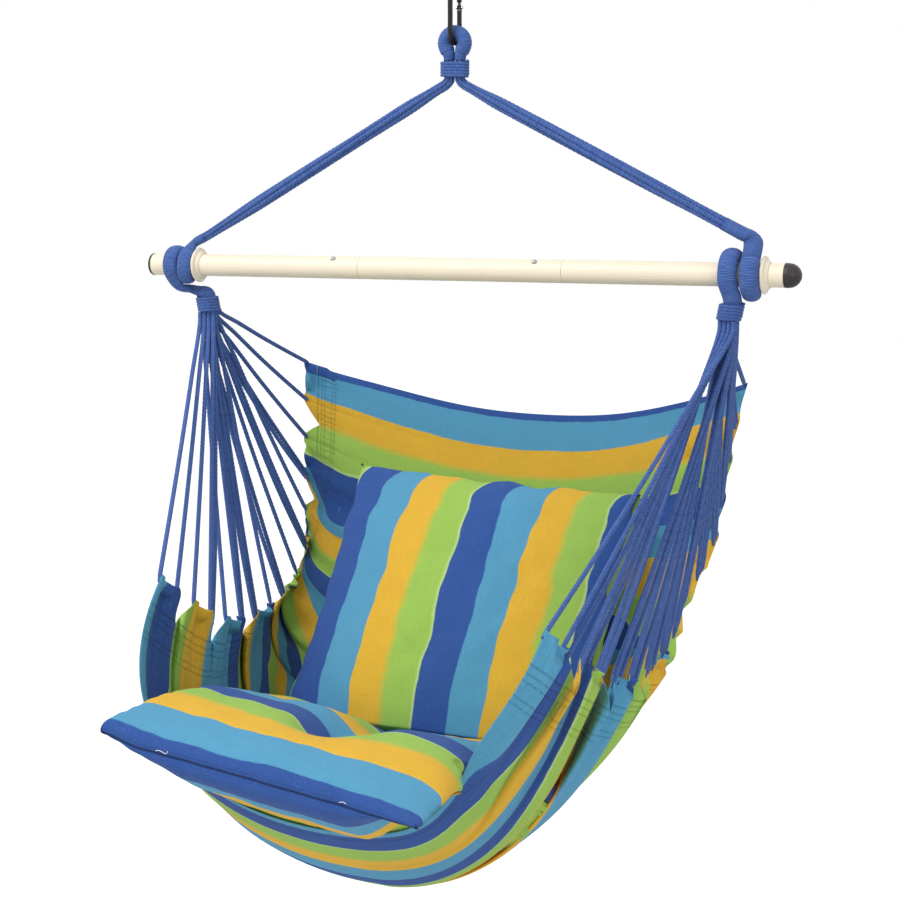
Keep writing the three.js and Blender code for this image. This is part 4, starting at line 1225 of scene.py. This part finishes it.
# %% [markdown]
# ## Seams and stitches
# These are drawn in the cotton's finish. The cushions have a dark line in the seam with a row of
# stitches beside it, and the sling has four stitch rows and a hem line along its gathered edges,
# and another hem line at the front. All widths are in metres.

# %% Draw seams and stitches
NAVY_THREAD = linear(24, 34, 70)
SEAM_LINE = 0.0022
SEAM_ROW, SEAM_ROW_HALF = 0.0055, 0.0012
SEAM_STITCH = 0.005
SEAM_SHADE = (0.22, 0.22, 0.22, 1.0)
SLING_WIDTH = 0.86
STITCH_ROWS = (0.034, 0.040, 0.054, 0.060)
ROW_HALF = 0.0009
ROWS_MIDDLE, ROWS_HALF = 0.047, 0.026
STITCH = 0.0042
STITCH_PUCKER = 0.0075
SIDE_HEM, SIDE_HEM_HALF = 0.027, 0.0012
FRONT_HEM_LINE, FRONT_HEM_HALF = 0.024, 0.0013
STITCH_SHADE = (0.55, 0.55, 0.55, 1.0)


def line_at(distance, place, half):
    """1 on a line at a distance, and 0 beside it."""
    return 1.0 - (abs(distance - place) / half).least(1.0)


def pitch_wave(distance, pitch):
    return (distance * (2 * math.pi / pitch)).wave()


def cushion_seam(finish, along, across, place, colour, weave):
    seam = finish.node("ShaderNodeAttribute", {"attribute_name": "seam"}, output=2)
    line = 1.0 - (seam / SEAM_LINE).least(1.0)
    beside = line_at(seam, SEAM_ROW, SEAM_ROW_HALF)
    thread = beside * pitch_wave(across + along, SEAM_STITCH).most(0.0)
    dark = finish.blend(1.0, colour, SEAM_SHADE, "MULTIPLY")
    colour = finish.blend(line * 0.85, colour, dark)
    return finish.blend(thread * 0.25, colour, NAVY_THREAD), weave - line * 6.0 - beside * 1.2


def sling_stitches(finish, along, across, place, colour, weave):
    from_side = SLING_WIDTH / 2 - abs(across - SLING_WIDTH / 2)
    rows = sum(line_at(from_side, distance, ROW_HALF) for distance in STITCH_ROWS)
    stitched = rows * (pitch_wave(along, STITCH) > -0.55)
    pucker = (along * (2 * math.pi / STITCH_PUCKER) + finish.grain(place, 90.0, 1.0) * 6.0).wave()
    near_rows = line_at(from_side, ROWS_MIDDLE, ROWS_HALF)
    front_hem = line_at(STRIPES * STRIPE - along, FRONT_HEM_LINE, FRONT_HEM_HALF)
    hem = front_hem + line_at(from_side, SIDE_HEM, SIDE_HEM_HALF)
    weave = weave + pucker * near_rows * 1.6 - rows * 2.5 - hem * 3.0
    dark = finish.blend(1.0, colour, STITCH_SHADE, "MULTIPLY")
    colour = finish.blend((stitched * 0.38).least(1.0), colour, dark)
    return finish.blend((hem * 0.4).least(1.0), colour, dark), weave


print("rows of stitches along each gathered edge:", len(STITCH_ROWS))

# %% [markdown]
# ## Striped cotton
# The cloth is a coarse plain weave in four colours that repeat: navy, turquoise, yellow, green.
# The stripes follow the cloth's own UV map, so they bend with every fold. Uneven yarn gives
# streaks along and across, and the weave itself is a fine bump of crossing threads. A picture of
# the cloth would be quicker, but a ramp stays sharp from close by and its colours are easy to set.

# %% Make the cotton
NAVY = linear(54, 92, 166)
TURQUOISE = linear(92, 166, 204)
YELLOW = linear(240, 190, 62)
GREEN = linear(166, 208, 94)
PALE_GREEN = linear(190, 222, 140)
PALE_YARN = linear(226, 224, 200)
CUSHION_STRIPE = 0.0513
YARN = 0.0022
STRIPE_STOPS = [
    (0.0, NAVY), (0.248, NAVY), (0.252, TURQUOISE), (0.498, TURQUOISE), (0.502, YELLOW), (0.72, YELLOW),
    (0.78, GREEN), (0.975, GREEN), (0.985, PALE_GREEN), (0.997, PALE_GREEN), (1.0, NAVY),
]


def cotton(name, width, stripe_width, drift, sewing):
    """Cotton on a UV map whose first axis crosses the stripes, in metres, and whose second one is
    a share of the width. The borders of the stripes drift a little, and the sewing goes on top."""
    finish = Finish(name, Roughness=0.88, Specular_IOR_Level=0.2, Sheen_Weight=0.08, Sheen_Roughness=0.5)
    along, share, _ = finish.parts(finish.coordinates(2))
    across = share * width
    place = finish.vector(along, across)
    wander = (finish.grain(place, 9.0, 1.0) - 0.5) * drift + (finish.grain(place, 60.0, 1.0) - 0.5) * 0.002
    stripe = ((along + wander) / stripe_width) % 4.0
    colour = finish.node("ShaderNodeValToRGB", {"stops": STRIPE_STOPS}, {0: stripe / 4.0})
    warp = finish.grain(finish.vector(along * 900.0, across * 45.0), 1.0)
    weft = finish.grain(finish.vector(along * 60.0, across * 800.0, 7.0), 1.0)
    slub = (finish.grain(finish.vector(along * 800.0, across * 150.0, 3.0), 1.0, 1.0) - 0.68).most(0.0) * 2.5
    patches = finish.grain(place, 9.0, 3.0)
    colour = finish.shaded(colour, 0.78 + warp * 0.25 + weft * 0.20 + (patches - 0.5) * 0.14)
    colour = finish.blend(slub.least(0.14), colour, PALE_YARN)
    weave = pitch_wave(along, YARN) * pitch_wave(across, YARN) * 0.5 + warp * 0.8 + weft * 0.6 + slub * 0.6
    colour, weave = sewing(finish, along, across, place, colour, weave)
    finish.put(finish.shader, "Base Color", colour)
    finish.bump(weave, 0.00045)
    return finish


cotton("sling cotton", SLING_WIDTH, STRIPE, 0.006, sling_stitches).on(sling)
cotton("cushion cotton", 1.0, CUSHION_STRIPE, 0.022, cushion_seam).on(seat, back)
Finish("white sewing thread", Roughness=0.7, Base_Color=linear(226, 230, 236)).on(*threads)
print("stripes are", STRIPE, "m wide on the sling and", CUSHION_STRIPE, "m on the cushions")

# %% [markdown]
# ## Blue rope
# The rope is dyed cotton. A painted highlight draws the light that its fibres catch as fine pale
# strokes that follow the twist, and painted shade makes the grooves between the strands deeper blue.

# %% Make the rope's finish
ROPE_BLUE = linear(60, 98, 178)
FIBRE_HIGHLIGHT = linear(150, 178, 226)


def rope_finish(name, strands_round, twist):
    """Blue rope whose strands turn round it, with twist in turns for each metre."""
    finish = Finish(name, Roughness=0.85, Specular_IOR_Level=0.25, Sheen_Weight=0.1, Sheen_Roughness=0.5)
    length, around, _ = finish.parts(finish.coordinates(2))
    lay = length * twist + around * strands_round
    fibre = finish.grain(finish.vector(lay * 9.0, length * 160.0), 1.0)
    # The strand wave raises the crests in the bump, and in the colour it paints light on the crests and shade
    # in the grooves.
    strand_wave = (lay * (2 * math.pi)).wave()
    patches = finish.grain(finish.coordinates(3), 55.0)
    # Painted shade: darker blue in the grooves between the strands and lighter on their crests; the fibre
    # noise and patches are uneven tone.
    blue = finish.shaded(ROPE_BLUE, 0.66 + fibre * 0.5 + strand_wave * 0.16 + (patches - 0.5) * 0.25)
    # Painted highlight: pale strokes where the fibres catch the light, most of all on the crests.
    highlight_mask = (fibre + strand_wave * 0.22 - 0.56).most(0.0) * 3.0
    finish.put(finish.shader, "Base Color", finish.blend(highlight_mask.least(0.55), blue, FIBRE_HIGHLIGHT))
    finish.bump(strand_wave * 0.6 + fibre, 0.0004)
    return finish


named = {piece.name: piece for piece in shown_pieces()}
upper_ropes = [piece for name, piece in named.items() if name.startswith("cords_")]
served_ropes = [piece for name, piece in named.items() if name.startswith(("served_", "wound_"))]
rope_finish("twisted cord", 7, -360.0).on(*cord_pieces, *upper_ropes)
rope_finish("served rope", 2, 640.0).on(*served_ropes)
print("ropes:", len(cord_pieces), "cords,", len(upper_ropes), "upper,", len(served_ropes), "served or wound")

# %% [markdown]
# ## Painted bar, collars, caps and metal
# The tubes have a cream powder paint, which is slightly orange-peeled. The collars are moulded
# in a like-coloured plastic. Caps are black plastic, the hook is black-coated steel. All of them
# keep their CAD mesh, so only a material is made, and a row of numbers is enough for each.

# %% Make the hard finishes


def hard_finish(name, colour, roughness, grain_scale, grain_depth, spread, metallic):
    """Paint, plastic or metal with a fine grain, and with broad patches of a slightly other shade."""
    finish = Finish(name, Metallic=metallic)
    place = finish.coordinates(3)
    fine = finish.grain(place, grain_scale)
    broad = finish.grain(place, 22.0, 3.0)
    shade = 1.0 - spread / 2 + (broad - 0.5) * spread + (fine - 0.5) * spread * 0.5
    finish.put(finish.shader, "Base Color", finish.shaded(colour, shade))
    finish.put(finish.shader, "Roughness", roughness + (broad - 0.5) * 0.12 + (fine - 0.5) * 0.1)
    finish.bump(fine, grain_depth)
    return finish


tubes = ["bar_tube_left", "bar_tube_middle", "bar_tube_right"]
small_metal = ["gate_rivet", "snap_button_left", "snap_button_right"]
small_metal += ["button_spring_left", "button_spring_right"]
for name, colour, roughness, grain_scale, grain_depth, spread, metallic, users in (
    ("cream powder paint", (252, 238, 213), 0.42, 900.0, 0.00005, 0.03, 0.0, tubes),
    ("cream plastic", (250, 238, 216), 0.5, 500.0, 0.00004, 0.04, 0.0, ["collar_left", "collar_right"]),
    ("black plastic", (46, 42, 41), 0.42, 700.0, 0.00008, 0.15, 0.0, ["end_cap_left", "end_cap_right"]),
    ("black coated steel", (34, 33, 34), 0.32, 600.0, 0.00006, 0.2, 0.4, ["hook_body", "hook_gate"]),
    ("bright steel", (178, 180, 184), 0.28, 800.0, 0.00003, 0.1, 1.0, small_metal),
):
    finish = hard_finish(name, linear(*colour), roughness, grain_scale, grain_depth, spread, metallic)
    finish.on(*(nodes[user] for user in users))
print("materials:", len(bpy.data.materials))

# %% [markdown]
# ## Leaf springs in the bar
# Each snap button stands on the arm of a bent leaf spring inside the bar. Where a button is
# pressed in, its leaf flattens by the same way, towards the arm that lies on the tube. Here each
# leaf only gets a mesh of its own, and none is pressed.

for side in ("left", "right"):
    leaf = nodes["button_spring_" + side]
    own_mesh(leaf)

# %% [markdown]
# ## Light
# The chair hangs in soft studio light: a large key lamp at the front left and a weak fill at the
# right, since small lamps would draw hard shadows of the cords on the cloth. The camera and the
# glossy reflections see the world as white, while its light on the chair stays at a lower level.

# %% Light the studio
WORLD_LEVEL = 0.6
scene = bpy.context.scene
scene.view_settings.view_transform = "Standard"
world = bpy.data.worlds.new("studio")
world.use_nodes = True
scene.world = world
studio = Graph(world.node_tree)
background = world.node_tree.nodes["Background"]
camera_ray = studio.node("ShaderNodeLightPath", output="Is Camera Ray")
glossy_ray = studio.node("ShaderNodeLightPath", output="Is Glossy Ray")
studio.put(background, "Color", (1, 1, 1, 1))
studio.put(background, "Strength", WORLD_LEVEL + camera_ray.most(glossy_ray) * (1 - WORLD_LEVEL))


def soft_lamp(name, place, aim, size, power):
    data = bpy.data.lights.new(name, "AREA")
    data.shape, data.size, data.size_y, data.energy = "RECTANGLE", size, size, power
    lamp = bpy.data.objects.new(name, data)
    lamp.location = place
    lamp.rotation_euler = (Vector(aim) - Vector(place)).to_track_quat("-Z", "Y").to_euler()
    scene.collection.objects.link(lamp)


soft_lamp("key", (-1.1, -2.0, 1.9), (0, 0, -0.7), 1.4, 62)
soft_lamp("fill", (2.4, -2.0, 0.2), (0, 0, -0.8), 1.6, 10)
print("lamps:", len(bpy.data.lights))

# %% [markdown]
# ## Floor
# The floor is far below the chair and plain. It glows a little for the camera only, so that it
# is as white as the world behind it.

# %% Lay the floor
FLOOR_HEIGHT = -1.65
FLOOR_GLOW = 0.55
FLOOR_GREY = (0.86, 0.86, 0.86, 1)
bm = bmesh.new()
drop = Matrix.Translation((0, 0, FLOOR_HEIGHT))
bmesh.ops.create_grid(bm, x_segments=4, y_segments=4, size=14, matrix=drop)
floor = finished_mesh("studio_floor", bm)
floor_finish = Finish("pale floor", Roughness=0.9, Base_Color=FLOOR_GREY, Emission_Strength=FLOOR_GLOW)
seen = floor_finish.node("ShaderNodeLightPath", output="Is Camera Ray")
floor_finish.put(floor_finish.shader, "Emission Color", floor_finish.grey(seen))
floor_finish.on(floor)
print("the floor lies", -FLOOR_HEIGHT, "metres below the hook")
